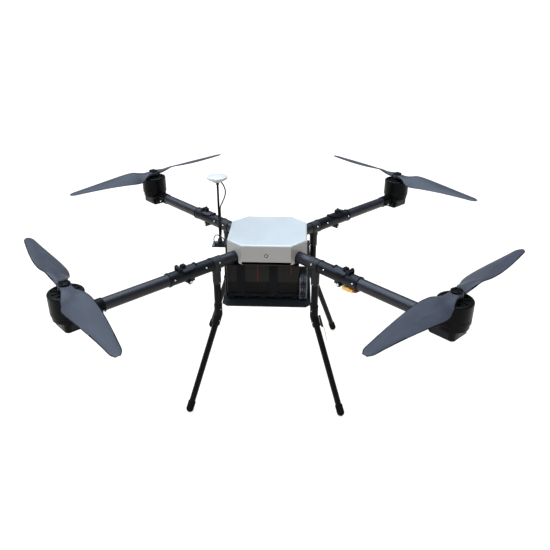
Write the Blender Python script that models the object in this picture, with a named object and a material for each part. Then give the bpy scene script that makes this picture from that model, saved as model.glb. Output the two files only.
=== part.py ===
"""Folding quadcopter airframe with its landing legs, motors, propellers, battery bay and GPS mast.

World frame: +Z up, front towards -Y, origin on the ground midway between the four feet.
Arm frame: +X runs outward along the arm, +Y across it, +Z up, origin on the arm's axis at the centre.
"""
import math

import bmesh
import bpy
from mathutils import Matrix, Vector

# Driving dimensions, in metres.
FIT = 0.0003                # gap between pieces that touch
RUN = 0.0004                # gap between pieces that move past each other
SINK = 0.0005               # how far a piece joined to another reaches into it
OVERSHOOT = 0.0100          # how far a cutter runs past what it cuts
WHEELBASE = 1.130           # motor axis to motor axis, across the diagonal
TUBE_DIA = 0.030            # arm tube
TUBE_WALL = 0.0015
SLEEVE_WALL = 0.0017        # aluminium sleeves clamped on the arm tube
LIP_HEIGHT = 0.0012         # raised ring at a sleeve's free end
LIP_WIDTH = 0.0032

# Centre frame, heights measured from the arm axis.
PLATE_THICK = 0.0026
CANOPY_WIDTH = 0.2084
CANOPY_CHAMFER = 0.0412
CANOPY_TOP = 0.0399
CANOPY_SKIRT = 0.0064       # depth of the four long faces below the arm axis
CANOPY_TAB = 0.0135         # depth of the corner faces below the arm axis
CANOPY_WALL = 0.0020
CANOPY_EDGE = 0.0050        # rounding of the top edge
LOWER_PLATE_WIDTH = 0.2000
PLATE_INSET = 0.0010        # upper plate to the inside of the canopy
WIRE_WINDOW = 0.0220        # radius of the opening in the lower plate
CONTROLLER_EDGE = 0.0020
ROOT_START = 0.046          # inner end of the root tube
CONTROLLER_SIZE = (0.060, 0.042, 0.0150)

# Stations along the arm.
TEE_STATION = 0.1775
TEE_LENGTH = 0.0290
FOLD_STATION = 0.2660       # fold hinge and the parting plane of the fold joint
ROOT_TUBE_GRIP = 0.0300     # fold joint's solid end beyond the root tube
OUTER_SLEEVE_LENGTH = 0.0550
OUTER_TUBE_GRIP = 0.0190
WIRE_BORE = 0.0095          # radius of the passage through the fold joint

# Fold hinge and its latch.
HINGE_RADIUS = 0.0070
HINGE_PIN = 0.0030
HINGE_HEAD = 0.0044
KNUCKLE_HALF = 0.0070       # half width of the outer half's knuckle
LUG_THICK = 0.0064
LUG_RUN = 0.0060            # lugs, along the sleeve past their round ends
KNUCKLE_RUN = 0.0040
HEAD_THICK = 0.0020
LATCH_PIVOT_OUT = 0.0230    # latch pin, outward from the parting plane
LATCH_PIVOT_RISE = 0.0056   # latch pin, above the sleeve
LATCH_BARREL = 0.0042
LATCH_PIN = 0.0020
LATCH_HALF = 0.0070
LATCH_EAR = 0.0050
LATCH_EAR_THICK = 0.0030
SADDLE_GAP = 0.0006
SADDLE_THICK = 0.0026
SADDLE_REACH = 0.0200       # length of the latch inward of the parting plane
SADDLE_APEX_OUT = 0.0120    # lowest point of the latch's side wings, outward of the parting plane
SADDLE_APEX_RISE = 0.0090   # height of that point above the arm axis
SADDLE_EDGE_RISE = 0.0165
SADDLE_TAIL_RISE = 0.0135
GRIP_LENGTH = 0.0130
GRIP_RISE = 0.0075
GRIP_EYE = 0.0022
GRIP_EDGE = 0.0020
CATCH_LENGTH = 0.0060
CATCH_RISE = 0.0034

# Motor and its mount.
MOUNT_CLAMP_INNER = 0.0750  # clamp's inner end, inward from the motor axis
MOUNT_WALL = 0.0035
MOUNT_RADIUS = 0.0362
MOUNT_FLOOR = 0.0234        # underside below the arm axis
MOUNT_BOX_HALF = 0.0285     # half width of the mount's box under the motor
MOUNT_BOX_OUT = 0.0245      # box's outer end, outward from the motor axis
MOUNT_BOX_TOP = 0.0015
MOUNT_BOX_CORNER = 0.0060
MOUNT_EDGE = 0.0040         # bevel round the mount's underside
MOUNT_SLIT = 0.0008         # half width of the clamp's slit
EAR_SIZE = (0.0140, 0.0065, 0.0070)
EAR_INSET = 0.0020
STATOR_GAP = 0.0025
STATOR_HEADROOM = 0.0080
MOTOR_DIA = 0.0765
MOTOR_SEAM = 0.0118         # parting line between bell and mount above the arm axis
BELL_HEIGHT = 0.0488
BELL_WALL = 0.0026
BELL_TOP = 0.0060
BELL_ROUND = 0.0030
BELL_GAP = 0.0009           # clear ring round the bell
SHAFT_RADIUS = 0.0040
ADAPTER_RADIUS = 0.0150
ADAPTER_HEIGHT = 0.0070

# Propeller.
PROP_DIA = 0.6096
PROP_PITCH = 0.2032
PROP_HUB_RADIUS = 0.0143
PROP_HUB_THICK = 0.0092
PROP_CAP_THICK = 0.0042
PROP_LINE_DEG = {"fl": 126.6, "fr": 47.5, "bl": 51.1, "br": 128.8}
# share of the radius, leading half chord, trailing half chord, thickness
BLADE_STATIONS = (
    (0.065, 0.0130, 0.0130, 0.0082),
    (0.110, 0.0145, 0.0175, 0.0074),
    (0.160, 0.0190, 0.0252, 0.0064),
    (0.220, 0.0245, 0.0322, 0.0055),
    (0.300, 0.0286, 0.0350, 0.0046),
    (0.420, 0.0288, 0.0308, 0.0038),
    (0.560, 0.0264, 0.0246, 0.0031),
    (0.720, 0.0218, 0.0180, 0.0025),
    (0.870, 0.0164, 0.0128, 0.0020),
    (0.960, 0.0122, 0.0100, 0.0015),
    (1.000, 0.0054, 0.0048, 0.0010),
)
TWIST_START = 0.065         # share of the radius where the blade begins to twist
TWIST_FULL = 0.220          # share of the radius from which it follows the pitch

# Landing legs.
LEG_DROP = 0.1494           # arm axis down to the bend
LEG_RISE = 0.2540           # ground up to the bend
LEG_SPLAY_X = 0.0800
LEG_SPLAY_Y = 0.0930
LEG_DIA = 0.0184
LEG_WALL = 0.0015
LEG_LOWER_DIA = 0.0160
SOCKET_WALL = 0.0014
SOCKET_DROP = 0.0400        # leg socket below the tee's sleeve
COLLAR_OUT = 0.0016         # ring where the socket meets the sleeve
COLLAR_DROP = 0.0060
LEG_TOP_GAP = 0.0012        # leg's top end below the arm tube
ELBOW_DIA = 0.0214
ELBOW_UP = 0.0310           # elbow above the bend
ELBOW_DOWN = 0.0290         # elbow along the lower leg
ELBOW_DEPTH = 0.0230        # upper tube inside the elbow
FOOT_DIA = 0.0200
FOOT_LENGTH = 0.0320

# Battery bay.
BATTERY_SIZE = (0.190, 0.176, 0.0860)
BATTERY_SHIFT = -0.0105     # battery's centre across the frame
BATTERY_HEADROOM = 0.0034   # battery top to the lower plate
BATTERY_EDGE = 0.0040
STRAP_WIDTH = 0.0210
STRAP_THICK = 0.0018
STRAP_CENTRES = (-0.0675, 0.0175)
RISER_HEIGHT = 0.0172
RISER_WALL = 0.0030
RISER_INSET = 0.0025
WINDOW_WIDTH = 0.0240
WINDOW_HEIGHT = 0.0100
WINDOW_PITCH = 0.0430
TRAY_WIDTH = 0.2340
TRAY_DEPTH = 0.2420
TRAY_CORNER = 0.0140
SIDE_PANEL_HALF = 0.0700
SIDE_PANEL_THICK = 0.0022
SIDE_PANEL_OUT = 0.1105     # inner face of the side panels
SIDE_WINDOW = (0.0980, 0.0560)
FLANGE_DEPTH = 0.0170
MODULE_SIZE = (0.0210, 0.0700, 0.0640)
MODULE_GAP = 0.0012
MODULE_PLUG = (0.0150, 0.0120, 0.0100)
MODULE_EDGE = 0.0015
MODULE_SETBACK = 0.0060     # module behind the battery's front

# GPS mast.
GPS_X = -0.1330
GPS_Y = 0.0170
GPS_PAD = (0.0390, 0.0390)
GPS_PAD_CORNER = (-0.1550, 0.0040)
GPS_TONGUE = 0.0260         # pad's length under the canopy
GPS_BLOCK = (0.0160, 0.0170, 0.0060)
GPS_PIVOT_RISE = 0.0140
GPS_LUG_GAP = 0.0052
GPS_LUG_THICK = 0.0030
GPS_LUG_RADIUS = 0.0050
GPS_BARREL = 0.0042
GPS_PIN = 0.0015
MAST_DIA = 0.0056
MAST_HEAD = 0.0060          # ferrule under the puck
MAST_HEAD_OUT = 0.0016
MAST_LENGTH = 0.1650
WRAP_DIA = 0.0100
WRAP_START = 0.0380
WRAP_LENGTH = 0.0300
PUCK_DIA = 0.0540
PUCK_HEIGHT = 0.0175
CABLE_DIA = 0.0030
CABLE_JOIN = 0.0700         # from the mast's top down to where the cable meets it
CABLE_STANDOFF = 0.0110     # cable's crossing of the mast hinge, in front of the mast
CABLE_SPLIT = 0.0019        # from the hinge axis to each half's end, so that the ends clear as the mast folds

# Small loose hardware.
PLUG_SIZE = (0.0360, 0.0160, 0.0085)
PLUG_STATION = 0.2770
PLUG_SIDE = -0.0060
PLUG_EDGE = 0.0012
ANTENNA_SIZE = (0.0060, 0.0080, 0.0320)
ANTENNA_START = 0.0020

# Facets round a full circle.
ROUND = 16
ROUND_WIDE = 20
ROUND_SMALL = 12
ROUND_PIN = 8

# Derived sizes.
TUBE_R = TUBE_DIA / 2
BORE_R = TUBE_R + FIT
SLEEVE_R = BORE_R + SLEEVE_WALL
HUB_RADIUS = WHEELBASE / 2
ARM_AXIS = LEG_DROP + LEG_RISE
HINGE_DROP = SLEEVE_R + 0.0005
PLATE_LOW_TOP = -(TUBE_R + FIT)
PLATE_LOW_BOTTOM = PLATE_LOW_TOP - PLATE_THICK
PLATE_UP_BOTTOM = TUBE_R + FIT
PLATE_UP_TOP = PLATE_UP_BOTTOM + PLATE_THICK
LATCH_X = FOLD_STATION + LATCH_PIVOT_OUT
LATCH_Z = SLEEVE_R + LATCH_PIVOT_RISE
MOUNT_TOP = MOTOR_SEAM - FIT
BELL_BOTTOM = MOTOR_SEAM + FIT
BELL_CROWN = BELL_BOTTOM + BELL_HEIGHT
PROP_SEAT = BELL_CROWN + ADAPTER_HEIGHT + FIT
BATTERY_TOP = PLATE_LOW_BOTTOM - BATTERY_HEADROOM
BATTERY_BOTTOM = BATTERY_TOP - BATTERY_SIZE[2]
RISER_TOP = BATTERY_BOTTOM - FIT
TRAY_TOP = RISER_TOP - RISER_HEIGHT
TRAY_BOTTOM = TRAY_TOP - PLATE_THICK
GPS_PAD_TOP = PLATE_LOW_TOP + FIT + PLATE_THICK
GPS_PIVOT = GPS_PAD_TOP + GPS_PIVOT_RISE

ARMS = {"fr": -45.0, "br": 45.0, "bl": 135.0, "fl": -135.0}
SPIN_SIGN = {"fl": 1, "br": 1, "fr": -1, "bl": -1}      # +1 turns anticlockwise seen from above


# Materials.

def material(name, colour, roughness, metallic=0.0):
    made = bpy.data.materials.new(name)
    made.use_nodes = True
    shader = made.node_tree.nodes["Principled BSDF"]
    shader.inputs["Base Color"].default_value = (*colour, 1.0)
    shader.inputs["Roughness"].default_value = roughness
    shader.inputs["Metallic"].default_value = metallic
    made.diffuse_color = (*colour, 1.0)
    return made


def make_materials():
    return {
        "carbon": material("carbon_tube", (0.030, 0.031, 0.036), 0.42),
        "plate": material("carbon_plate", (0.026, 0.026, 0.029), 0.35),
        "anodised": material("black_anodised", (0.020, 0.020, 0.023), 0.40, 0.6),
        "latch": material("latch_black", (0.016, 0.016, 0.018), 0.32, 0.5),
        "motor": material("motor_black", (0.012, 0.012, 0.013), 0.45, 0.5),
        "blade": material("blade_carbon", (0.075, 0.085, 0.110), 0.38),
        "shell": material("canopy_silver", (0.660, 0.680, 0.700), 0.36, 0.3),
        "nylon": material("black_nylon", (0.018, 0.018, 0.018), 0.55),
        "battery": material("battery_wrap", (0.080, 0.075, 0.070), 0.50),
        "strap": material("strap_webbing", (0.010, 0.010, 0.010), 0.85),
        "module": material("module_grey", (0.230, 0.220, 0.270), 0.45),
        "board": material("controller_case", (0.020, 0.022, 0.026), 0.50),
        "puck": material("puck_white", (0.800, 0.810, 0.830), 0.30),
        "cable": material("cable_jacket", (0.012, 0.012, 0.012), 0.60),
        "plug": material("plug_yellow", (0.740, 0.390, 0.060), 0.45),
    }


# Building blocks.

def body_from(bm, name):
    """Turn a bmesh into a linked object whose faces point outwards."""
    bmesh.ops.recalc_face_normals(bm, faces=bm.faces)
    mesh = bpy.data.meshes.new(name)
    bm.to_mesh(mesh)
    bm.free()
    made = bpy.data.objects.new(name, mesh)
    bpy.context.scene.collection.objects.link(made)
    return made


def box(low, high):
    bm = bmesh.new()
    bmesh.ops.create_cube(bm, size=1.0)
    size = [b - a for a, b in zip(low, high)]
    centre = [(a + b) / 2 for a, b in zip(low, high)]
    bmesh.ops.scale(bm, vec=size, verts=bm.verts)
    bmesh.ops.translate(bm, vec=centre, verts=bm.verts)
    return body_from(bm, "box")


def prism(outline, low, high):
    """Extrude a flat outline of (x, y) points from height low to height high."""
    bm = bmesh.new()
    face = bm.faces.new([bm.verts.new((x, y, low)) for x, y in outline])
    raised = bmesh.ops.extrude_face_region(bm, geom=[face])["geom"]
    lifted = [item for item in raised if isinstance(item, bmesh.types.BMVert)]
    bmesh.ops.translate(bm, vec=(0, 0, high - low), verts=lifted)
    return body_from(bm, "prism")


def turned(profile, segments=ROUND, axis="Z", closed=False):
    """Spin a profile of (radius, along) points about an axis through the origin."""
    bm = bmesh.new()
    points = [bm.verts.new((radius, 0, along)) for radius, along in profile]
    edges = [bm.edges.new(pair) for pair in zip(points, points[1:])]
    if closed:
        edges.append(bm.edges.new((points[-1], points[0])))
    bmesh.ops.spin(
        bm, geom=points + edges, cent=(0, 0, 0), axis=(0, 0, 1),
        angle=2 * math.pi, steps=segments, use_merge=True,
    )
    bmesh.ops.remove_doubles(bm, verts=bm.verts, dist=1e-6)
    if axis == "X":
        bmesh.ops.rotate(bm, matrix=Matrix.Rotation(math.pi / 2, 3, "Y"), verts=bm.verts)
    if axis == "Y":
        bmesh.ops.rotate(bm, matrix=Matrix.Rotation(-math.pi / 2, 3, "X"), verts=bm.verts)
    return body_from(bm, "turned")


def rod(radius, start, end, axis="Z", segments=ROUND):
    return turned([(0, start), (radius, start), (radius, end), (0, end)], segments, axis)


def pipe(inner, outer, start, end, axis="Z", segments=ROUND):
    ring = [(inner, start), (outer, start), (outer, end), (inner, end)]
    return turned(ring, segments, axis, closed=True)


def turned_to(item, matrix):
    """Move an object's mesh by a matrix and leave the object's own placing alone."""
    item.data.transform(matrix)
    item.data.update()
    return item


def moved(item, offset):
    return turned_to(item, Matrix.Translation(offset))


def rounded(item, width, segments=2, limit_deg=50.0):
    """Bevel the sharp edges of an object's mesh."""
    bm = bmesh.new()
    bm.from_mesh(item.data)
    sharp = [e for e in bm.edges if e.calc_face_angle(0.0) > math.radians(limit_deg)]
    bmesh.ops.bevel(bm, geom=sharp, offset=width, segments=segments, affect="EDGES", profile=0.5, material=-1)
    bm.to_mesh(item.data)
    bm.free()
    item.data.update()
    return item


def boolean(base, tools, operation, solver):
    """Join or cut base with each tool in turn, keep the result as base's mesh and drop the tools."""
    for tool in tools:
        tool.hide_render = True
        tool.display_type = "WIRE"
        step = base.modifiers.new(operation.lower(), "BOOLEAN")
        step.operation = operation
        step.solver = solver
        step.object = tool
    evaluated = base.evaluated_get(bpy.context.evaluated_depsgraph_get())
    mesh = bpy.data.meshes.new_from_object(evaluated)
    base.modifiers.clear()
    base.data = mesh
    for tool in tools:
        bpy.data.objects.remove(tool)
    return base


def merged_flats(item):
    """Merge the coplanar facets that a Boolean leaves on flat faces."""
    bm = bmesh.new()
    bm.from_mesh(item.data)
    bmesh.ops.dissolve_limit(bm, angle_limit=math.radians(0.05), verts=bm.verts, edges=bm.edges)
    bmesh.ops.triangulate(bm, faces=[face for face in bm.faces if len(face.verts) > 4])
    bm.to_mesh(item.data)
    bm.free()
    item.data.update()
    return item


def joined(base, *tools, solver="EXACT"):
    return boolean(base, tools, "UNION", solver)


def cut(base, *tools, solver="EXACT"):
    return boolean(base, tools, "DIFFERENCE", solver)


def kept(base, tool):
    return boolean(base, [tool], "INTERSECT", "EXACT")


def take_mesh(item, name):
    """Keep a finished mesh for shared use and drop the object that carried it."""
    mesh = item.data
    mesh.name = name
    bpy.data.objects.remove(item)
    return mesh


def empty(name, location=(0, 0, 0), parent=None, turn_z=0.0):
    made = bpy.data.objects.new(name, None)
    made.location = location
    made.rotation_euler = (0, 0, turn_z)
    made.parent = parent
    bpy.context.scene.collection.objects.link(made)
    return made


def place(name, mesh, surface, parent=None, location=(0, 0, 0), turn_z=0.0):
    """Put a piece in the scene; its mesh is shared with the other copies of the piece."""
    if not mesh.materials:
        mesh.materials.append(surface)
    mesh.shade_smooth()
    mesh.set_sharp_from_angle(angle=math.radians(32))
    made = bpy.data.objects.new(name, mesh)
    made.location = location
    made.rotation_euler = (0, 0, turn_z)
    made.parent = parent
    bpy.context.scene.collection.objects.link(made)
    return made


def octagon(width, chamfer):
    """Square outline with its four corners cut off."""
    half = width / 2
    inner = half - chamfer
    return [
        (-inner, -half), (inner, -half), (half, -inner), (half, inner),
        (inner, half), (-inner, half), (-half, inner), (-half, -inner),
    ]


def octagon_inset(width, chamfer, inset):
    """Octagon whose eight sides all lie inset inside those of the given one."""
    return octagon(width - 2 * inset, chamfer - inset * (2 - math.sqrt(2)))


# Centre frame.

def canopy_mesh():
    shell = prism(octagon(CANOPY_WIDTH, CANOPY_CHAMFER), -CANOPY_TAB, CANOPY_TOP)
    bm = bmesh.new()
    bm.from_mesh(shell.data)
    upper = [e for e in bm.edges if all(v.co.z > 0 for v in e.verts)]
    bmesh.ops.bevel(bm, geom=upper, offset=CANOPY_EDGE, segments=3, affect="EDGES", profile=0.5, material=-1)
    bm.to_mesh(shell.data)
    bm.free()
    shell.data.update()
    inside = octagon_inset(CANOPY_WIDTH, CANOPY_CHAMFER, CANOPY_WALL)
    hollow = prism(inside, -CANOPY_TAB - OVERSHOOT, CANOPY_TOP - CANOPY_WALL)
    cutters = [hollow]
    half = CANOPY_WIDTH / 2
    run = half - CANOPY_CHAMFER
    low = -CANOPY_TAB - OVERSHOOT
    cutters.append(box((-run, -half - OVERSHOOT, low), (run, half + OVERSHOOT, -CANOPY_SKIRT)))
    cutters.append(box((-half - OVERSHOOT, -run, low), (half + OVERSHOOT, run, -CANOPY_SKIRT)))
    for angle in ARMS.values():
        cutters.append(turned_to(notch_cutter(), Matrix.Rotation(math.radians(angle), 4, "Z")))
    return take_mesh(merged_flats(cut(shell, *cutters, solver="MANIFOLD")), "canopy")


def notch_cutter():
    """Arch-topped slot that lets the root tube out through a corner face."""
    radius = BORE_R + FIT
    low = -CANOPY_TAB - OVERSHOOT
    steps = [2 * math.pi * k / ROUND for k in range(ROUND // 2 + 1)]
    arch = [(-radius * math.sin(a), radius * math.cos(a)) for a in steps]
    notch = prism(arch + [(-low, -radius), (-low, radius)], CANOPY_WIDTH * 0.3, CANOPY_WIDTH)
    return turned_to(notch, Matrix.Rotation(math.pi / 2, 4, "Y"))


def lower_plate_mesh():
    scale = LOWER_PLATE_WIDTH / CANOPY_WIDTH
    plate = prism(octagon(LOWER_PLATE_WIDTH, CANOPY_CHAMFER * scale), PLATE_LOW_BOTTOM, PLATE_LOW_TOP)
    window = rod(WIRE_WINDOW, PLATE_LOW_BOTTOM - OVERSHOOT, PLATE_LOW_TOP + OVERSHOOT, segments=ROUND_SMALL)
    return take_mesh(cut(plate, window), "frame_plate_lower")


def upper_plate_mesh():
    outline = octagon_inset(CANOPY_WIDTH, CANOPY_CHAMFER, CANOPY_WALL + PLATE_INSET)
    return take_mesh(prism(outline, PLATE_UP_BOTTOM, PLATE_UP_TOP), "frame_plate_upper")


def controller_mesh():
    length, width, height = CONTROLLER_SIZE
    low = PLATE_UP_TOP + FIT
    case = box((-length / 2, -width / 2, low), (length / 2, width / 2, low + height))
    return take_mesh(rounded(case, CONTROLLER_EDGE, 1), "flight_controller")


# Arm pieces, in the arm frame.

def root_tube_mesh():
    end = FOLD_STATION - ROOT_TUBE_GRIP
    return take_mesh(pipe(TUBE_R - TUBE_WALL, TUBE_R, ROOT_START, end, "X"), "arm_root_tube")


def arm_tube_mesh():
    start = FOLD_STATION + OUTER_TUBE_GRIP + FIT
    end = HUB_RADIUS - MOTOR_DIA / 2 - MOUNT_WALL
    return take_mesh(pipe(TUBE_R - TUBE_WALL, TUBE_R, start, end, "X"), "arm_tube")


def sleeve(near, far, lip_at):
    """Solid outer shape of a clamp sleeve from its lipped end, near, to the parting plane, far."""
    lip_r = SLEEVE_R + LIP_HEIGHT
    step = LIP_WIDTH * lip_at
    profile = [
        (0, near), (lip_r, near), (lip_r, near + step), (SLEEVE_R, near + step), (SLEEVE_R, far), (0, far),
    ]
    return turned(profile, ROUND, "X")


def hinge_cylinder(radius, low, high, segments=ROUND_SMALL):
    return moved(rod(radius, low, high, "Y", segments), (FOLD_STATION, 0, -HINGE_DROP))


def fold_inner_mesh():
    """Inner half of the fold joint: sleeve, two hinge lugs with their pin, and the latch's catch."""
    near = TEE_STATION + TEE_LENGTH / 2 + FIT
    half = sleeve(near, FOLD_STATION - RUN / 2, 1)
    low = KNUCKLE_HALF + RUN
    high = low + LUG_THICK
    pieces = []
    for side in (-1, 1):
        edges = sorted((side * low, side * high))
        pieces.append(hinge_cylinder(HINGE_RADIUS, *edges))
        corner = (FOLD_STATION - HINGE_RADIUS - LUG_RUN, edges[0], -HINGE_DROP)
        pieces.append(box(corner, (FOLD_STATION - RUN / 2, edges[1], -HINGE_DROP * 0.5)))
    catch_end = FOLD_STATION - SADDLE_REACH - 2 * SINK
    catch_low = (catch_end - CATCH_LENGTH, -LATCH_HALF, SLEEVE_R - CATCH_RISE)
    pieces.append(box(catch_low, (catch_end, LATCH_HALF, SLEEVE_R + CATCH_RISE)))
    joined(half, *pieces, solver="MANIFOLD")
    knuckle_room = hinge_cylinder(HINGE_RADIUS + 2 * RUN, -low, low)
    wires = rod(WIRE_BORE, near, FOLD_STATION + OVERSHOOT, "X", ROUND_SMALL)
    socket = rod(BORE_R, near - OVERSHOOT, FOLD_STATION - ROOT_TUBE_GRIP + FIT, "X")
    cut(half, knuckle_room, wires, socket, solver="MANIFOLD")
    pin_end = high + HEAD_THICK
    pin = hinge_cylinder(HINGE_PIN, SINK - pin_end, pin_end - SINK, ROUND_PIN)
    spans = [sorted((side * (high - SINK), side * pin_end)) for side in (-1, 1)]
    heads = [hinge_cylinder(HINGE_HEAD, *span, ROUND_SMALL) for span in spans]
    return take_mesh(joined(half, pin, *heads, solver="MANIFOLD"), "fold_inner")


def fold_outer_mesh():
    """Outer half of the fold joint: sleeve, hinge knuckle and the ears that carry the latch pin."""
    near = FOLD_STATION + OUTER_SLEEVE_LENGTH
    half = sleeve(near, FOLD_STATION + RUN / 2, -1)
    low = KNUCKLE_HALF + FIT / 2
    high = KNUCKLE_HALF + RUN + LUG_THICK + HEAD_THICK + RUN
    rooms = [
        hinge_cylinder(HINGE_RADIUS + 2 * RUN, *sorted((side * low, side * high)))
        for side in (-1, 1)
    ]
    cut(half, *rooms, solver="MANIFOLD")
    knuckle = hinge_cylinder(HINGE_RADIUS, -KNUCKLE_HALF, KNUCKLE_HALF)
    web = box(
        (FOLD_STATION + RUN / 2, -KNUCKLE_HALF, -HINGE_DROP),
        (FOLD_STATION + HINGE_RADIUS + KNUCKLE_RUN, KNUCKLE_HALF, -HINGE_DROP * 0.6),
    )
    pieces = [knuckle, web]
    for side in (-1, 1):
        edges = sorted((side * (LATCH_HALF + RUN), side * (LATCH_HALF + RUN + LATCH_EAR_THICK)))
        ear = moved(rod(LATCH_EAR, *edges, "Y", ROUND_SMALL), (LATCH_X, 0, LATCH_Z))
        foot = box((LATCH_X - LATCH_EAR, edges[0], SLEEVE_R * 0.7), (LATCH_X + LATCH_EAR, edges[1], LATCH_Z))
        pieces += [ear, foot]
    reach = LATCH_HALF + RUN + LATCH_EAR_THICK / 2
    pieces.append(moved(rod(LATCH_PIN, -reach, reach, "Y", ROUND_PIN), (LATCH_X, 0, LATCH_Z)))
    joined(half, *pieces, solver="MANIFOLD")
    bore_reach = KNUCKLE_HALF + OVERSHOOT
    pin_bore = hinge_cylinder(HINGE_PIN + RUN, -bore_reach, bore_reach, ROUND_PIN)
    wires = rod(WIRE_BORE, FOLD_STATION - OVERSHOOT, near, "X", ROUND_SMALL)
    socket = rod(BORE_R, FOLD_STATION + OUTER_TUBE_GRIP, near + OVERSHOOT, "X")
    return take_mesh(cut(half, pin_bore, wires, socket, solver="MANIFOLD"), "fold_outer")


def fold_latch_mesh():
    """Over-centre latch: a saddle across the parting plane, with a finger grip and a pivot barrel."""
    inner = SLEEVE_R + SADDLE_GAP
    start = FOLD_STATION - SADDLE_REACH
    end = LATCH_X - LATCH_EAR - RUN
    saddle = pipe(inner, inner + SADDLE_THICK, start, end, "X", ROUND)
    wide = inner + SADDLE_THICK + OVERSHOOT
    apex = FOLD_STATION + SADDLE_APEX_OUT
    outline = [
        (start - SINK, SADDLE_EDGE_RISE), (apex, SADDLE_APEX_RISE),
        (end + SINK, SADDLE_TAIL_RISE), (end + SINK, wide), (start - SINK, wide),
    ]
    keep = prism([(x, -z) for x, z in outline], -wide, wide)
    turned_to(keep, Matrix.Rotation(-math.pi / 2, 4, "X"))
    kept(saddle, keep)
    barrel = moved(rod(LATCH_BARREL, -LATCH_HALF, LATCH_HALF, "Y", ROUND_SMALL), (LATCH_X, 0, LATCH_Z))
    neck_low = (end - SADDLE_THICK, -LATCH_HALF, inner + SINK)
    neck = box(neck_low, (LATCH_X, LATCH_HALF, inner + SADDLE_THICK + 2 * SINK))
    grip_end = end - SINK
    grip_half = LATCH_HALF * 0.9
    grip_low = (grip_end - GRIP_LENGTH, -grip_half, inner + 2 * SINK)
    grip = rounded(box(grip_low, (grip_end, grip_half, inner + SADDLE_THICK + GRIP_RISE)), GRIP_EDGE, 1)
    joined(saddle, barrel, neck, grip)
    eye_at = (grip_end - GRIP_LENGTH * 0.45, 0, inner + SADDLE_THICK + GRIP_RISE * 0.5)
    eye = moved(rod(GRIP_EYE, -OVERSHOOT, OVERSHOOT, "Y", ROUND_PIN), eye_at)
    pin_room = moved(rod(LATCH_PIN + RUN, -OVERSHOOT, OVERSHOOT, "Y", ROUND_PIN), (LATCH_X, 0, LATCH_Z))
    return take_mesh(merged_flats(cut(saddle, eye, pin_room)), "fold_latch")


def mount_outline():
    """Plan of the box under the motor: a rectangle along the arm with its corners cut."""
    near = HUB_RADIUS - MOTOR_DIA / 2 - BELL_GAP
    far = HUB_RADIUS + MOUNT_BOX_OUT
    half = MOUNT_BOX_HALF
    cut_off = MOUNT_BOX_CORNER
    return [
        (far - cut_off, -half), (far, -half + cut_off), (far, half - cut_off), (far - cut_off, half),
        (near + cut_off, half), (near, half - cut_off), (near, -half + cut_off), (near + cut_off, -half),
    ]


def mount_body():
    """Box for the speed controller, bevelled round its underside, and the motor's round base plate on it."""
    housing = prism(mount_outline(), -MOUNT_FLOOR, MOUNT_BOX_TOP)
    bm = bmesh.new()
    bm.from_mesh(housing.data)
    lower = [e for e in bm.edges if all(v.co.z < 0 for v in e.verts)]
    bmesh.ops.bevel(bm, geom=lower, offset=MOUNT_EDGE, segments=1, affect="EDGES", profile=0.5, material=-1)
    bm.to_mesh(housing.data)
    bm.free()
    housing.data.update()
    plate = rod(MOUNT_RADIUS, MOUNT_BOX_TOP - SINK, MOUNT_TOP, segments=ROUND_WIDE)
    return joined(housing, moved(plate, (HUB_RADIUS, 0, 0)), solver="MANIFOLD")


def mount_ear(side, clamp_start, clamp_r):
    """Screw ear on one side of the tube clamp."""
    length, out, height = EAR_SIZE
    near, far = sorted((side * (clamp_r - SINK * 4), side * (clamp_r - SINK * 4 + out)))
    low = (clamp_start + EAR_INSET, near, -EAR_INSET / 4 - height)
    high = (clamp_start + EAR_INSET + length, far, -EAR_INSET / 4)
    return rounded(box(low, high), 2 * SINK, 1)


def motor_mount_mesh():
    """Motor mount: tube clamp, speed-controller housing under the motor, and the stator on top."""
    housing = mount_body()
    back = HUB_RADIUS - MOTOR_DIA / 2 - BELL_GAP
    clamp_start = HUB_RADIUS - MOUNT_CLAMP_INNER
    clamp = rod(SLEEVE_R, clamp_start, back + MOUNT_EDGE, "X")
    bell_room = rod(MOTOR_DIA / 2 + BELL_GAP, MOUNT_TOP, BELL_CROWN, segments=ROUND_WIDE)
    cut(clamp, moved(bell_room, (HUB_RADIUS, 0, 0)), solver="MANIFOLD")
    ears = [mount_ear(side, clamp_start, SLEEVE_R) for side in (-1, 1)]
    stator_r = MOTOR_DIA / 2 - BELL_WALL - STATOR_GAP
    stator_top = BELL_CROWN - BELL_TOP - STATOR_HEADROOM
    stator = moved(rod(stator_r, MOUNT_TOP - SINK, stator_top), (HUB_RADIUS, 0, 0))
    joined(housing, clamp, *ears, stator, solver="MANIFOLD")
    socket = rod(BORE_R, clamp_start - OVERSHOOT, HUB_RADIUS - MOTOR_DIA / 2 - MOUNT_WALL + FIT, "X")
    slit_low = (clamp_start - OVERSHOOT, -MOUNT_SLIT, 0)
    slit = box(slit_low, (back - MOUNT_EDGE / 2, MOUNT_SLIT, SLEEVE_R + OVERSHOOT))
    bearing = rod(SHAFT_RADIUS + 2 * RUN, 0, BELL_CROWN, segments=ROUND_SMALL)
    cut(housing, socket, slit, moved(bearing, (HUB_RADIUS, 0, 0)), solver="MANIFOLD")
    return take_mesh(housing, "motor_mount")


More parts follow.
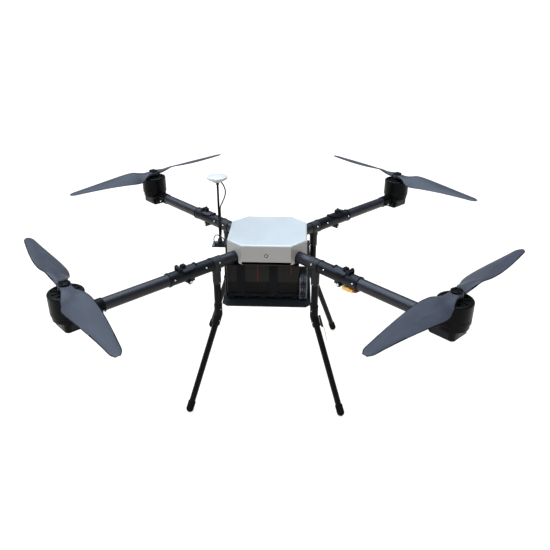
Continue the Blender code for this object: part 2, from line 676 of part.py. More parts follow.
def motor_bell_mesh():
    """Outrunner bell: a cup over the stator with a shaft below and the propeller's seat on top."""
    outer = MOTOR_DIA / 2
    ceiling = BELL_CROWN - BELL_TOP
    shaft_end = RUN + 2 * SINK
    profile = [
        (0, shaft_end), (SHAFT_RADIUS, shaft_end), (SHAFT_RADIUS, ceiling), (outer - BELL_WALL, ceiling),
        (outer - BELL_WALL, BELL_BOTTOM), (outer, BELL_BOTTOM), (outer, BELL_CROWN - BELL_ROUND),
        (outer - BELL_ROUND, BELL_CROWN), (ADAPTER_RADIUS, BELL_CROWN),
        (ADAPTER_RADIUS, BELL_CROWN + ADAPTER_HEIGHT), (0, BELL_CROWN + ADAPTER_HEIGHT),
    ]
    return take_mesh(turned(profile, ROUND_WIDE), "motor_bell")


# Propeller, in its own frame: centre at the origin, blades along X.

def blade_twist(share):
    """Blade angle at a share of the radius, flat at the hub and following the pitch further out."""
    if share <= TWIST_START:
        return 0.0
    reach = max(share, TWIST_FULL) * PROP_DIA / 2
    full = math.atan(PROP_PITCH / (2 * math.pi * reach))
    ramp = min(1.0, (share - TWIST_START) / (TWIST_FULL - TWIST_START))
    return full * ramp * ramp * (3 - 2 * ramp)


def blade_ring(bm, along, station):
    """One cross-section of the blades: an oval of the station's chord and thickness, twisted."""
    share, lead, trail, thick = station
    side = 1 if along > 0 else -1
    twist = blade_twist(share) * side
    ring = []
    for step in range(8):
        angle = 2 * math.pi * step / 8
        reach = lead if math.cos(angle) * side > 0 else trail
        across = math.cos(angle) * reach
        rise = math.sin(angle) * thick / 2
        y = across * math.cos(twist) - rise * math.sin(twist)
        z = across * math.sin(twist) + rise * math.cos(twist)
        ring.append(bm.verts.new((along, y, PROP_HUB_THICK / 2 + z)))
    return ring


def propeller_mesh(spin):
    """Two-blade propeller with its hub and clamp cap; spin is its turning sense seen from above."""
    bm = bmesh.new()
    outward = [(station[0] * PROP_DIA / 2, station) for station in BLADE_STATIONS]
    inward = [(-along, station) for along, station in reversed(outward)]
    rings = [blade_ring(bm, along, station) for along, station in inward + outward]
    for near, far in zip(rings, rings[1:]):
        for k in range(len(near)):
            after = (k + 1) % len(near)
            bm.faces.new((near[k], near[after], far[after], far[k]))
    bm.faces.new(rings[0])
    bm.faces.new(rings[-1])
    cap_r = PROP_HUB_RADIUS * 0.93
    cap_top = PROP_HUB_THICK + PROP_CAP_THICK
    hub = turned(
        [(0, 0), (PROP_HUB_RADIUS, 0), (PROP_HUB_RADIUS, PROP_HUB_THICK), (cap_r, PROP_HUB_THICK),
         (cap_r, cap_top), (0, cap_top)],
    )
    whole = joined(body_from(bm, "blades"), hub)
    if spin < 0:
        turned_to(whole, Matrix.Scale(-1, 4, (0, 1, 0)))
        whole.data.flip_normals()
    return take_mesh(whole, "propeller")


# Landing legs, in the world frame with the arm axis's height added by their parents.

def leg_clamp_mesh():
    """Tee clamp in the arm frame: sleeve on the root tube and a socket for the leg below it."""
    start = TEE_STATION - TEE_LENGTH / 2
    end = TEE_STATION + TEE_LENGTH / 2
    sleeve_body = rod(SLEEVE_R, start, end, "X")
    socket_r = LEG_DIA / 2 + FIT + SOCKET_WALL
    low = -(SLEEVE_R + SOCKET_DROP)
    socket = moved(rod(socket_r, low, 0), (TEE_STATION, 0, 0))
    collar = moved(rod(socket_r + COLLAR_OUT, -(SLEEVE_R + COLLAR_DROP), 0), (TEE_STATION, 0, 0))
    joined(sleeve_body, socket, collar, solver="MANIFOLD")
    bore = rod(BORE_R, start - OVERSHOOT, end + OVERSHOOT, "X")
    leg_bore = moved(rod(LEG_DIA / 2 + FIT, low - OVERSHOOT, -BORE_R * 0.9), (TEE_STATION, 0, 0))
    return take_mesh(cut(sleeve_body, bore, leg_bore, solver="MANIFOLD"), "leg_clamp")


def leg_upper_mesh():
    top = -(TUBE_R + LEG_TOP_GAP)
    low = -(LEG_DROP - ELBOW_UP + ELBOW_DEPTH)
    tube = pipe(LEG_DIA / 2 - LEG_WALL, LEG_DIA / 2, low, top)
    return take_mesh(moved(tube, (TEE_STATION, 0, 0)), "leg_upper")


def leg_lower_mesh(side_x, side_y):
    """Elbow, lower tube and rubber foot; origin at the bend, axes parallel to the world's."""
    foot_centre = FOOT_DIA / 2
    drop = LEG_RISE - foot_centre
    share = drop / LEG_RISE
    way = Vector((side_x * LEG_SPLAY_X * share, side_y * LEG_SPLAY_Y * share, -drop))
    length = way.length
    turn = Vector((0, 0, -1)).rotation_difference(way).to_matrix().to_4x4()
    elbow_r = ELBOW_DIA / 2
    foot_r = FOOT_DIA / 2
    dome = [
        (foot_r * math.cos(math.radians(a)), -length - foot_r * math.sin(math.radians(a)))
        for a in (0, 22, 44, 66)
    ]
    cap_top = FOOT_LENGTH - foot_r - length
    lower = turned(
        [(0, elbow_r * 0.5), (elbow_r * 0.8, 0.0), (elbow_r, -elbow_r * 0.4), (elbow_r, -ELBOW_DOWN),
         (LEG_LOWER_DIA / 2, -ELBOW_DOWN), (LEG_LOWER_DIA / 2, cap_top), (foot_r, cap_top)]
        + dome + [(0, -length - foot_r)],
    )
    turned_to(lower, turn)
    steps = [math.radians(a) for a in range(0, 181, 20)]
    knee = turned([(elbow_r * math.sin(a), -elbow_r * math.cos(a)) for a in steps])
    upper = rod(elbow_r, 0, ELBOW_UP)
    joined(upper, knee, lower, solver="MANIFOLD")
    bore = rod(LEG_DIA / 2 + FIT, ELBOW_UP - ELBOW_DEPTH - FIT, ELBOW_UP + OVERSHOOT)
    return take_mesh(cut(upper, bore, solver="MANIFOLD"), "leg_lower")


# Battery bay, heights measured from the arm axis.

def battery_mesh():
    length, depth, height = BATTERY_SIZE
    pack = box((-length / 2, -depth / 2, 0), (length / 2, depth / 2, height))
    return take_mesh(rounded(pack, BATTERY_EDGE, 2), "battery")


def strap_mesh():
    """Webbing band around the battery, in a plane across the frame."""
    depth = BATTERY_SIZE[1] / 2 + FIT
    height = BATTERY_SIZE[2]
    outer = box((-STRAP_WIDTH / 2, -depth - STRAP_THICK, -FIT - STRAP_THICK),
                (STRAP_WIDTH / 2, depth + STRAP_THICK, height + FIT + STRAP_THICK))
    inner = box((-STRAP_WIDTH, -depth, -FIT), (STRAP_WIDTH, depth, height + FIT))
    return take_mesh(cut(outer, inner), "battery_strap")


def tray_mesh():
    """Battery tray: floor, vented riser under the battery and two side panels up to the frame."""
    floor = prism(octagon_sides(TRAY_WIDTH, TRAY_DEPTH, TRAY_CORNER), TRAY_BOTTOM, TRAY_TOP)
    joined(floor, riser_box(), *side_panels())
    return take_mesh(merged_flats(cut(floor, *riser_cutters(), side_window())), "battery_tray")


def riser_half():
    """Half width and half depth of the riser."""
    return BATTERY_SIZE[0] / 2 - RISER_INSET, BATTERY_SIZE[1] / 2 - RISER_INSET


def riser_box():
    half_x, half_y = riser_half()
    low_x, high_x = BATTERY_SHIFT - half_x, BATTERY_SHIFT + half_x
    riser = box((low_x, -half_y, TRAY_TOP - SINK), (high_x, half_y, RISER_TOP))
    room_low = (low_x + RISER_WALL, -half_y + RISER_WALL, TRAY_TOP)
    room = box(room_low, (high_x - RISER_WALL, half_y - RISER_WALL, RISER_TOP + OVERSHOOT))
    return cut(riser, room)


def side_panels():
    """The two upright panels and the flanges under the frame plate."""
    top = PLATE_LOW_BOTTOM - FIT
    panels = []
    for side in (-1, 1):
        outside = side * (SIDE_PANEL_OUT + SIDE_PANEL_THICK)
        low_x, high_x = sorted((side * SIDE_PANEL_OUT, outside))
        panels.append(box((low_x, -SIDE_PANEL_HALF, TRAY_TOP - SINK), (high_x, SIDE_PANEL_HALF, top)))
        low_x, high_x = sorted((outside, outside - side * FLANGE_DEPTH))
        panels.append(box((low_x, -SIDE_PANEL_HALF, top - SIDE_PANEL_THICK), (high_x, SIDE_PANEL_HALF, top)))
    return panels


def riser_cutters():
    """Windows through the riser's front and back, and the notches its straps pass through."""
    reach = riser_half()[1] + OVERSHOOT
    middle = (TRAY_TOP + RISER_TOP - STRAP_THICK) / 2
    cutters = []
    for k in range(4):
        x = BATTERY_SHIFT + (k - 1.5) * WINDOW_PITCH
        low = (x - WINDOW_WIDTH / 2, -reach, middle - WINDOW_HEIGHT / 2)
        cutters.append(box(low, (x + WINDOW_WIDTH / 2, reach, middle + WINDOW_HEIGHT / 2)))
    wide = STRAP_WIDTH / 2 + FIT
    for x in STRAP_CENTRES:
        low = (x - wide, -reach, RISER_TOP - STRAP_THICK - FIT)
        cutters.append(box(low, (x + wide, reach, RISER_TOP + OVERSHOOT)))
    return cutters


def side_window():
    wide, tall = SIDE_WINDOW
    middle = (TRAY_TOP + PLATE_LOW_BOTTOM - FIT) / 2
    reach = TRAY_WIDTH / 2 + OVERSHOOT
    return box((-reach, -wide / 2, middle - tall / 2), (reach, wide / 2, middle + tall / 2))


def octagon_sides(width, depth, corner):
    x = width / 2
    y = depth / 2
    return [
        (-x + corner, -y), (x - corner, -y), (x, -y + corner), (x, y - corner),
        (x - corner, y), (-x + corner, y), (-x, y - corner), (-x, -y + corner),
    ]


def module_mesh():
    """Power module beside the battery, with two sockets on its front."""
    width, depth, height = MODULE_SIZE
    case = rounded(box((0, 0, 0), (width, depth, height)), MODULE_EDGE, 1)
    plug_x, plug_y, plug_z = MODULE_PLUG
    plugs = [
        box(((width - plug_x) / 2, -plug_y, z), ((width + plug_x) / 2, 4 * SINK, z + plug_z))
        for z in (height * 0.18, height * 0.62)
    ]
    return take_mesh(joined(case, *plugs), "power_module")


# GPS mast, with its own origin at the mast's hinge.

def gps_base_mesh():
    """Pad bolted to the frame, hinge block and the two lugs that hold the mast's pin."""
    x0, y0 = GPS_PAD_CORNER
    pad = box((x0, y0, PLATE_LOW_TOP + FIT), (x0 + GPS_PAD[0] + GPS_TONGUE, y0 + GPS_PAD[1], GPS_PAD_TOP))
    bx, by, bz = GPS_BLOCK
    block_low = (GPS_X - bx / 2, GPS_Y - by / 2, GPS_PAD_TOP - SINK)
    pieces = [box(block_low, (GPS_X + bx / 2, GPS_Y + by / 2, GPS_PAD_TOP + bz))]
    for side in (-1, 1):
        edges = sorted((side * GPS_LUG_GAP, side * (GPS_LUG_GAP + GPS_LUG_THICK)))
        pieces.append(moved(rod(GPS_LUG_RADIUS, *edges, "Y", ROUND_SMALL), (GPS_X, GPS_Y, GPS_PIVOT)))
        lug_low = (GPS_X - GPS_LUG_RADIUS, GPS_Y + edges[0], GPS_PAD_TOP + bz - SINK)
        pieces.append(box(lug_low, (GPS_X + GPS_LUG_RADIUS, GPS_Y + edges[1], GPS_PIVOT)))
    reach = GPS_LUG_GAP + GPS_LUG_THICK / 2
    pieces.append(moved(rod(GPS_PIN, -reach, reach, "Y", ROUND_PIN), (GPS_X, GPS_Y, GPS_PIVOT)))
    return take_mesh(joined(pad, *pieces, solver="MANIFOLD"), "gps_base")


def gps_mast_mesh():
    """Mast with its hinge barrel and the wrap that ties the cable to it."""
    half = GPS_LUG_GAP - RUN
    barrel = rod(GPS_BARREL, -half, half, "Y", ROUND_SMALL)
    mast = rod(MAST_DIA / 2, 0, MAST_LENGTH, segments=ROUND_SMALL)
    wrap = rod(WRAP_DIA / 2, WRAP_START, WRAP_START + WRAP_LENGTH, segments=ROUND_SMALL)
    head = rod(MAST_DIA / 2 + MAST_HEAD_OUT, MAST_LENGTH - MAST_HEAD, MAST_LENGTH, segments=ROUND_SMALL)
    joined(barrel, mast, wrap, head, solver="MANIFOLD")
    pin_room = rod(GPS_PIN + RUN / 2, -OVERSHOOT, OVERSHOOT, "Y", ROUND_PIN)
    cable_x = WRAP_DIA / 2 - CABLE_DIA * 0.3
    room_end = MAST_LENGTH - CABLE_JOIN + OVERSHOOT
    cable_room = moved(rod(CABLE_DIA / 2 + FIT, 0, room_end, segments=ROUND_PIN), (cable_x, 0, 0))
    return take_mesh(cut(barrel, pin_room, cable_room, solver="MANIFOLD"), "gps_mast")


def gps_puck_mesh():
    """Antenna puck: a shallow dome on top, stepping in below the rim."""
    r = PUCK_DIA / 2
    h = PUCK_HEIGHT
    low = MAST_LENGTH + FIT
    profile = [
        (0, low), (r * 0.45, low), (r * 0.62, low + h * 0.22), (r * 0.86, low + h * 0.42),
        (r * 0.90, low + h * 0.52), (r, low + h * 0.60), (r, low + h * 0.80), (r * 0.80, low + h * 0.94),
        (r * 0.40, low + h), (0, low + h),
    ]
    return take_mesh(turned(profile, ROUND), "gps_puck")


def cable_curve(name, points):
    """Round cable along a smooth curve through the given points."""
    curve = bpy.data.curves.new(name, "CURVE")
    curve.dimensions = "3D"
    curve.bevel_depth = CABLE_DIA / 2
    curve.bevel_resolution = 2
    curve.use_fill_caps = True
    fine = smooth_route([Vector(p) for p in points], CABLE_DIA * 2.2)
    spline = curve.splines.new("POLY")
    spline.points.add(len(fine) - 1)
    for point, place_at in zip(spline.points, fine):
        point.co = (*place_at, 1.0)
    return curve


def smooth_route(points, spacing):
    """Evenly spaced points on a Catmull-Rom curve through the given ones."""
    ends = [points[0] * 2 - points[1], *points, points[-1] * 2 - points[-2]]
    fine = []
    for a, b, c, d in zip(ends, ends[1:], ends[2:], ends[3:]):
        steps = max(1, round((c - b).length / spacing))
        for k in range(steps):
            t = k / steps
            fine.append(0.5 * (2 * b + (c - a) * t + (2 * a - 5 * b + 4 * c - d) * t ** 2
                               + (3 * b - a - 3 * c + d) * t ** 3))
    return fine + [points[-1]]


def gps_cable_points():
    """From the puck's underside, out in a bow, down the mast and forward onto the hinge's axis."""
    beside = WRAP_DIA / 2 - CABLE_DIA * 0.3
    under = MAST_LENGTH - SINK
    return [
        (0.0095, 0, under), (0.0150, 0, under - 0.008), (0.0195, 0, under - 0.022),
        (0.0180, 0, under - 0.038), (0.0105, 0, under - 0.056), (beside + 0.0004, 0, under - CABLE_JOIN),
        (beside, 0, WRAP_START + WRAP_LENGTH),
        (beside, 0, WRAP_START), (beside, -0.0010, 0.024), (beside - 0.0006, -0.0055, 0.0145),
        (0.0012, -CABLE_STANDOFF + 0.0006, 0.0072), (0, -CABLE_STANDOFF, CABLE_SPLIT),
    ]


def gps_tail_points():
    """From the hinge's axis, round a small loop on the pad and in under the canopy."""
    floor = GPS_PAD_TOP - GPS_PIVOT + CABLE_DIA / 2 + FIT
    front = -CABLE_STANDOFF
    return [
        (0, front, -CABLE_SPLIT), (-0.0026, front - 0.0002, -0.0052), (-0.0085, front - 0.0004, -0.0062),
        (-0.0135, front - 0.0004, -0.0078), (-0.0110, front - 0.0002, floor), (0.0020, front, floor),
        (0.0180, front + 0.0010, floor), (0.0330, front + 0.0020, floor),
    ]


# Small loose hardware.

def plug_mesh():
    """Power plug held up under a fold joint."""
    length, width, height = PLUG_SIZE
    top = -SLEEVE_R - FIT
    low = (PLUG_STATION, PLUG_SIDE - width / 2, top - height)
    high = (PLUG_STATION + length, PLUG_SIDE + width / 2, top)
    return take_mesh(rounded(box(low, high), PLUG_EDGE, 1), "power_plug")


def antenna_mesh(side_x, side_y):
    """Receiver antenna stub lying along the outer side of an elbow; origin at the bend."""
    way = Vector((side_x * LEG_SPLAY_X, side_y * LEG_SPLAY_Y, -LEG_RISE)).normalized()
    out = (Vector((side_x, 0, 0)) - way * way.dot(Vector((side_x, 0, 0)))).normalized()
    across = way.cross(out)
    thick, wide, length = ANTENNA_SIZE
    stub = rounded(box((0, -wide / 2, 0), (thick, wide / 2, length)), 2 * SINK, 1)
    frame = Matrix((out, across, way)).transposed().to_4x4()
    frame.translation = way * ANTENNA_START + out * (ELBOW_DIA / 2 + FIT)
    turned_to(stub, frame)
    return take_mesh(stub, "receiver_antenna")


# Assembly.

def clear_scene():
    for item in list(bpy.data.objects):
        bpy.data.objects.remove(item)


def build_centre(surfaces, frame):
    place("canopy", canopy_mesh(), surfaces["shell"], frame)
    place("frame_plate_upper", upper_plate_mesh(), surfaces["plate"], frame)
    place("frame_plate_lower", lower_plate_mesh(), surfaces["plate"], frame)
    place("flight_controller", controller_mesh(), surfaces["board"], frame)
    place("battery_tray", tray_mesh(), surfaces["plate"], frame)
    place("battery", battery_mesh(), surfaces["battery"], frame, (BATTERY_SHIFT, 0, BATTERY_BOTTOM))
    strap = strap_mesh()
    for side, x in zip(("left", "right"), STRAP_CENTRES):
        place(f"battery_strap_{side}", strap, surfaces["strap"], frame, (x, 0, BATTERY_BOTTOM))
    module_x = BATTERY_SHIFT + BATTERY_SIZE[0] / 2 + MODULE_GAP
    module_at = (module_x, -BATTERY_SIZE[1] / 2 + MODULE_SETBACK, TRAY_TOP + FIT)
    place("power_module", module_mesh(), surfaces["module"], frame, module_at)


def build_gps(surfaces, frame):
    place("gps_base", gps_base_mesh(), surfaces["nylon"], frame)
    hinge = empty("gps_mast_hinge", (GPS_X, GPS_Y, GPS_PIVOT), frame)
    place("gps_mast", gps_mast_mesh(), surfaces["nylon"], hinge)
    place("gps_puck", gps_puck_mesh(), surfaces["puck"], hinge)
    for name, points in (("gps_cable", gps_cable_points()), ("gps_cable_tail", gps_tail_points())):
        curve = cable_curve(name, points)
        curve.materials.append(surfaces["cable"])
        cable = bpy.data.objects.new(name, curve)
        cable.parent = hinge
        bpy.context.scene.collection.objects.link(cable)


def build_arms(surfaces, frame):
    shared = {
        "arm_root_tube": root_tube_mesh(), "fold_inner": fold_inner_mesh(), "fold_outer": fold_outer_mesh(),
        "fold_latch": fold_latch_mesh(), "arm_tube": arm_tube_mesh(), "motor_mount": motor_mount_mesh(),
        "motor_bell": motor_bell_mesh(), "leg_clamp": leg_clamp_mesh(), "leg_upper": leg_upper_mesh(),
    }
    propellers = {spin: propeller_mesh(spin) for spin in (-1, 1)}
    for corner, angle in ARMS.items():
        azimuth = math.radians(angle)
        arm = empty(f"arm_frame_{corner}", parent=frame, turn_z=azimuth)
        place(f"arm_root_tube_{corner}", shared["arm_root_tube"], surfaces["carbon"], arm)
        place(f"fold_inner_{corner}", shared["fold_inner"], surfaces["anodised"], arm)
        place(f"leg_clamp_{corner}", shared["leg_clamp"], surfaces["nylon"], arm)
        place(f"leg_upper_{corner}", shared["leg_upper"], surfaces["carbon"], arm)
        hinge_at = Vector((FOLD_STATION, 0, -HINGE_DROP))
        hinge = empty(f"fold_hinge_{corner}", hinge_at, arm)
        place(f"fold_outer_{corner}", shared["fold_outer"], surfaces["anodised"], hinge, -hinge_at)
        place(f"arm_tube_{corner}", shared["arm_tube"], surfaces["carbon"], hinge, -hinge_at)
        place(f"motor_mount_{corner}", shared["motor_mount"], surfaces["motor"], hinge, -hinge_at)
        latch_at = Vector((LATCH_X, 0, LATCH_Z))
        latch = empty(f"latch_hinge_{corner}", latch_at - hinge_at, hinge)
        place(f"fold_latch_{corner}", shared["fold_latch"], surfaces["latch"], latch, -latch_at)
        rotor_at = Vector((HUB_RADIUS, 0, 0))
        rotor = empty(f"rotor_axis_{corner}", rotor_at - hinge_at, hinge)
        place(f"motor_bell_{corner}", shared["motor_bell"], surfaces["motor"], rotor)
        turn = math.radians(PROP_LINE_DEG[corner]) - azimuth
        mesh = propellers[SPIN_SIGN[corner]]
        place(f"propeller_{corner}", mesh, surfaces["blade"], rotor, (0, 0, PROP_SEAT), turn)


def build_lower_legs(surfaces, frame):
    reach = TEE_STATION / math.sqrt(2)
    for corner in ARMS:
        side_x = 1 if corner[1] == "r" else -1
        side_y = 1 if corner[0] == "b" else -1
        bend = (side_x * reach, side_y * reach, -LEG_DROP)
        place(f"leg_lower_{corner}", leg_lower_mesh(side_x, side_y), surfaces["nylon"], frame, bend)
        if corner == "fr":
            place("receiver_antenna", antenna_mesh(side_x, side_y), surfaces["nylon"], frame, bend)


def build_plug(surfaces):
    hinge = bpy.data.objects["fold_hinge_fr"]
    place("power_plug", plug_mesh(), surfaces["plug"], hinge, -hinge.location)


def main():
    clear_scene()
    surfaces = make_materials()
    frame = empty("airframe", (0, 0, ARM_AXIS))
    build_centre(surfaces, frame)
    build_gps(surfaces, frame)
    build_arms(surfaces, frame)
    build_lower_legs(surfaces, frame)
    build_plug(surfaces)


if __name__ == "__main__":
    main()
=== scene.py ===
"""Folding quadcopter in its finished materials, laid out as an add-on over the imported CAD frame.

World frame: +Z up, front towards -Y, origin on the ground midway between the four feet, metres.
Arm frame: +X runs outward along the arm, +Y across it, +Z up, origin on the arm's axis at the centre.
"""
import math

import bmesh
import bpy
from mathutils import Matrix, Vector


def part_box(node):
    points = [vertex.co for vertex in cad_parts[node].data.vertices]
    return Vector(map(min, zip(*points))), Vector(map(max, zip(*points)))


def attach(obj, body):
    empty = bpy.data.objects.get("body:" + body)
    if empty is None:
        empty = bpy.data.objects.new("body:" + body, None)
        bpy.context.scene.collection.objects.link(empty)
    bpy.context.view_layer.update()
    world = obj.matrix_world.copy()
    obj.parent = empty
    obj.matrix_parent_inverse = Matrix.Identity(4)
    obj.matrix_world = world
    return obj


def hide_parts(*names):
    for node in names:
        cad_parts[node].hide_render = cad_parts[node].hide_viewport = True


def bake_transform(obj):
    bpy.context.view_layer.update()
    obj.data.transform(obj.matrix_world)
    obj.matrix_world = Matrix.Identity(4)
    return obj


bl_info = {
    "name": "Folding Quadcopter",
    "version": (1, 0, 0),
    "blender": (4, 5, 0),
    "location": "View3D > Sidebar > Quadcopter",
    "description": "Dresses the CAD frame of a folding quadcopter with finished pieces and materials",
    "category": "Add Mesh",
}

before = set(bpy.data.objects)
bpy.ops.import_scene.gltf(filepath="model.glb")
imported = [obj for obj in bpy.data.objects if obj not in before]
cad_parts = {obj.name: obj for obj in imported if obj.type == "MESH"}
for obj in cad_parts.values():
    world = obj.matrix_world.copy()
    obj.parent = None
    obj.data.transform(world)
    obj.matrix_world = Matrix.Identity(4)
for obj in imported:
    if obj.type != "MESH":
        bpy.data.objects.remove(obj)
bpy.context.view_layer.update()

# The four arms, seen from above, and the way each rotor turns (+1 anticlockwise).
CORNERS = {"fr": -45.0, "br": 45.0, "bl": 135.0, "fl": -135.0}
SPIN = {"fl": 1, "br": 1, "fr": -1, "bl": -1}
BLADE_LINE = {"fl": 126.6, "fr": 47.5, "bl": 51.1, "br": 128.8}
SHOWN_SIDE = {"fr": -1, "br": -1, "bl": 1, "fl": 1}     # side of the arm that faces the front

# Places read from the CAD frame.
ROOT_LOW, ROOT_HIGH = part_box("arm_root_tube_fr")
ARM_AXIS = (ROOT_LOW.z + ROOT_HIGH.z) / 2
PUCK_LOW, PUCK_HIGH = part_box("gps_puck")
PACK_LOW, PACK_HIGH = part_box("battery")
MODULE_LOW, MODULE_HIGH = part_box("power_module")
CANOPY_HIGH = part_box("canopy")[1]

# Shared sizes, in metres.
TUBE_R = 0.0150
TUBE_WALL = 0.0015
SLEEVE_R = 0.0170
HUB_RADIUS = 0.5650
TEE_STATION = 0.1775
FOLD_STATION = 0.2660
HINGE_DROP = 0.0175
LATCH_AT = (0.2890, 0.0226)
BELL_R = 0.03825
BELL_START = 0.0121
BELL_HEIGHT = 0.0488
SEAT_RISE = 0.0682          # underside of the propeller above the arm axis
PROP_RADIUS = 0.3048
PROP_PITCH = 0.2032
HUB_R = 0.0143
HUB_THICK = 0.0092
LEG_BEND = 0.2540           # height of the bend
LEG_SPLAY = (0.0800, 0.0930)
MAST_AT = (-0.1330, 0.0170)
MAST_PIVOT = 0.4050
STRAPS = {"left": -0.0675, "right": 0.0175}

# share of the radius, leading half chord, trailing half chord, thickness
BLADE_STATIONS = (
    (0.040, 0.0130, 0.0130, 0.0082),
    (0.065, 0.0130, 0.0130, 0.0082),
    (0.110, 0.0145, 0.0175, 0.0074),
    (0.160, 0.0190, 0.0252, 0.0064),
    (0.220, 0.0245, 0.0322, 0.0055),
    (0.300, 0.0286, 0.0350, 0.0046),
    (0.420, 0.0288, 0.0308, 0.0038),
    (0.560, 0.0264, 0.0246, 0.0031),
    (0.720, 0.0218, 0.0180, 0.0025),
    (0.870, 0.0164, 0.0128, 0.0020),
    (0.960, 0.0122, 0.0100, 0.0015),
    (1.000, 0.0054, 0.0048, 0.0010),
)


# Settings a user would change.

def colour_property(name, description, default):
    return bpy.props.FloatVectorProperty(
        name=name, description=description, default=default, subtype="COLOR", size=3, min=0.0,
        max=1.0)


def length_property(name, description, default):
    return bpy.props.FloatProperty(
        name=name, description=description, default=default, unit="LENGTH", precision=5, min=0.0)


class StageSettings(bpy.types.PropertyGroup):
    floor: colour_property("Floor", "Colour of the studio floor", (0.22, 0.19, 0.165))
    floor_glow: bpy.props.FloatProperty(
        name="Floor glow", description="Light that the white floor sheet gives off", default=0.80,
        min=0.0)
    key_strength: bpy.props.FloatProperty(
        name="Key light", description="Strength of the overhead light", default=9.0, min=0.0)
    fill_strength: bpy.props.FloatProperty(
        name="Fill light", description="Strength of the room's light", default=0.15, min=0.0)


class CentreSettings(bpy.types.PropertyGroup):
    shell: colour_property("Canopy", "Colour of the canopy's satin paint", (0.36, 0.355, 0.345))
    plate: colour_property("Carbon plate", "Colour of the frame plates and the tray",
                           (0.0075, 0.0080, 0.0095))
    fastener: length_property("Fastener radius", "Radius of the canopy's quarter-turn fasteners",
                              0.0048)


class ArmSettings(bpy.types.PropertyGroup):
    tube: colour_property("Carbon tube", "Colour of the arm tubes", (0.0120, 0.0112, 0.0150))
    metal: colour_property("Anodised metal", "Colour of the sleeves and clamps",
                           (0.0080, 0.0080, 0.0106))
    screw: length_property("Screw head radius", "Radius of the clamp screws' heads", 0.0021)


class RotorSettings(bpy.types.PropertyGroup):
    blade: colour_property("Blade", "Colour of the propellers' carbon", (0.031, 0.0315, 0.040))
    bell: colour_property("Motor", "Colour of the motors", (0.0025, 0.0025, 0.0026))
    vents: bpy.props.IntProperty(name="Vents", description="Openings in a motor's top", default=10,
                                 min=4, max=16)


class LegSettings(bpy.types.PropertyGroup):
    tube: colour_property("Leg", "Colour of the landing legs", (0.0024, 0.0024, 0.0026))
    rubber: colour_property("Foot", "Colour of the rubber feet", (0.0026, 0.0026, 0.0026))


class BatterySettings(bpy.types.PropertyGroup):
    wrap: colour_property("Battery wrap", "Colour of the battery's wrap", (0.0125, 0.0112, 0.0100))
    webbing: colour_property("Strap", "Colour of the battery straps", (0.0045, 0.0045, 0.0050))
    module: colour_property("Power module", "Colour of the power module's case",
                            (0.190, 0.190, 0.225))


class MastSettings(bpy.types.PropertyGroup):
    puck: colour_property("Puck", "Colour of the antenna puck", (0.47, 0.44, 0.405))
    cable: colour_property("Cable", "Colour of the antenna's cable", (0.010, 0.010, 0.011))
    cable_width: length_property("Cable diameter", "Diameter of the antenna's cable", 0.0035)


# Finishes. Each is a Principled shader with nodes that vary it over the surface.

def node(tree, kind, inputs=None, **settings):
    made = tree.nodes.new("ShaderNode" + kind)
    for name, value in settings.items():
        setattr(made, name, value)
    for name, value in (inputs or {}).items():
        if isinstance(value, bpy.types.NodeSocket):
            tree.links.new(value, made.inputs[name])
        else:
            made.inputs[name].default_value = value
    return made


DARK = 0.06                 # finishes darker than this take a matt surface's weaker reflection
BLACK = 0.007               # and these a deep matt black's


class Finish:
    """One surface finish under construction."""

    def __init__(self, name, colour, roughness, metallic=0.0, **sockets):
        self.material = bpy.data.materials.new(name)
        self.material.use_nodes = True
        self.tree = self.material.node_tree
        self.shader = self.tree.nodes["Principled BSDF"]
        self.shader.inputs["Base Color"].default_value = (*colour, 1.0)
        self.shader.inputs["Roughness"].default_value = roughness
        self.shader.inputs["Metallic"].default_value = metallic
        if max(colour) < DARK:
            self.shader.inputs["Specular IOR Level"].default_value = 0.17 if max(colour) > BLACK else 0.09
        for socket, value in sockets.items():
            self.shader.inputs[socket.replace("_", " ")].default_value = value
        self.material.diffuse_color = (*colour, 1.0)

    def place(self, kind="Object", scale=(1, 1, 1), turn=(0, 0, 0)):
        source = node(self.tree, "TexCoord")
        return node(self.tree, "Mapping",
                    {"Vector": source.outputs[kind], "Scale": scale, "Rotation": turn}).outputs[0]

    def noise(self, place, scale, detail=3.0, roughness=0.55):
        return node(self.tree, "TexNoise", {
            "Vector": place, "Scale": scale, "Detail": detail,
            "Roughness": roughness}).outputs["Fac"]

    def wave(self, place, scale, direction="X", distortion=0.0):
        return node(self.tree, "TexWave", {
            "Vector": place, "Scale": scale, "Distortion": distortion},
            bands_direction=direction).outputs["Fac"]

    def math(self, operation, first, second):
        return node(self.tree, "Math", {0: first, 1: second}, operation=operation).outputs[0]

    def spread(self, value, low, high, start=0.0, end=1.0):
        return node(self.tree, "MapRange", {
            "Value": value, "From Min": start, "From Max": end, "To Min": low,
            "To Max": high}).outputs[0]

    def blend(self, share, first, second):
        mix = node(self.tree, "Mix", data_type="RGBA")
        for socket, value in ((0, share), (6, first), (7, second)):
            if isinstance(value, bpy.types.NodeSocket):
                self.tree.links.new(value, mix.inputs[socket])
            else:
                mix.inputs[socket].default_value = value if socket == 0 else (*value[:3], 1.0)
        return mix.outputs[2]

    def colour(self, socket):
        self.tree.links.new(socket, self.shader.inputs["Base Color"])
        return self

    def rough(self, socket):
        self.tree.links.new(socket, self.shader.inputs["Roughness"])
        return self

    def relief(self, height, depth, strength=1.0):
        bump = node(self.tree, "Bump", {"Height": height, "Distance": depth, "Strength": strength})
        self.tree.links.new(bump.outputs[0], self.shader.inputs["Normal"])
        return self


def shade(colour, factor):
    return tuple(min(1.0, channel * factor) for channel in colour)


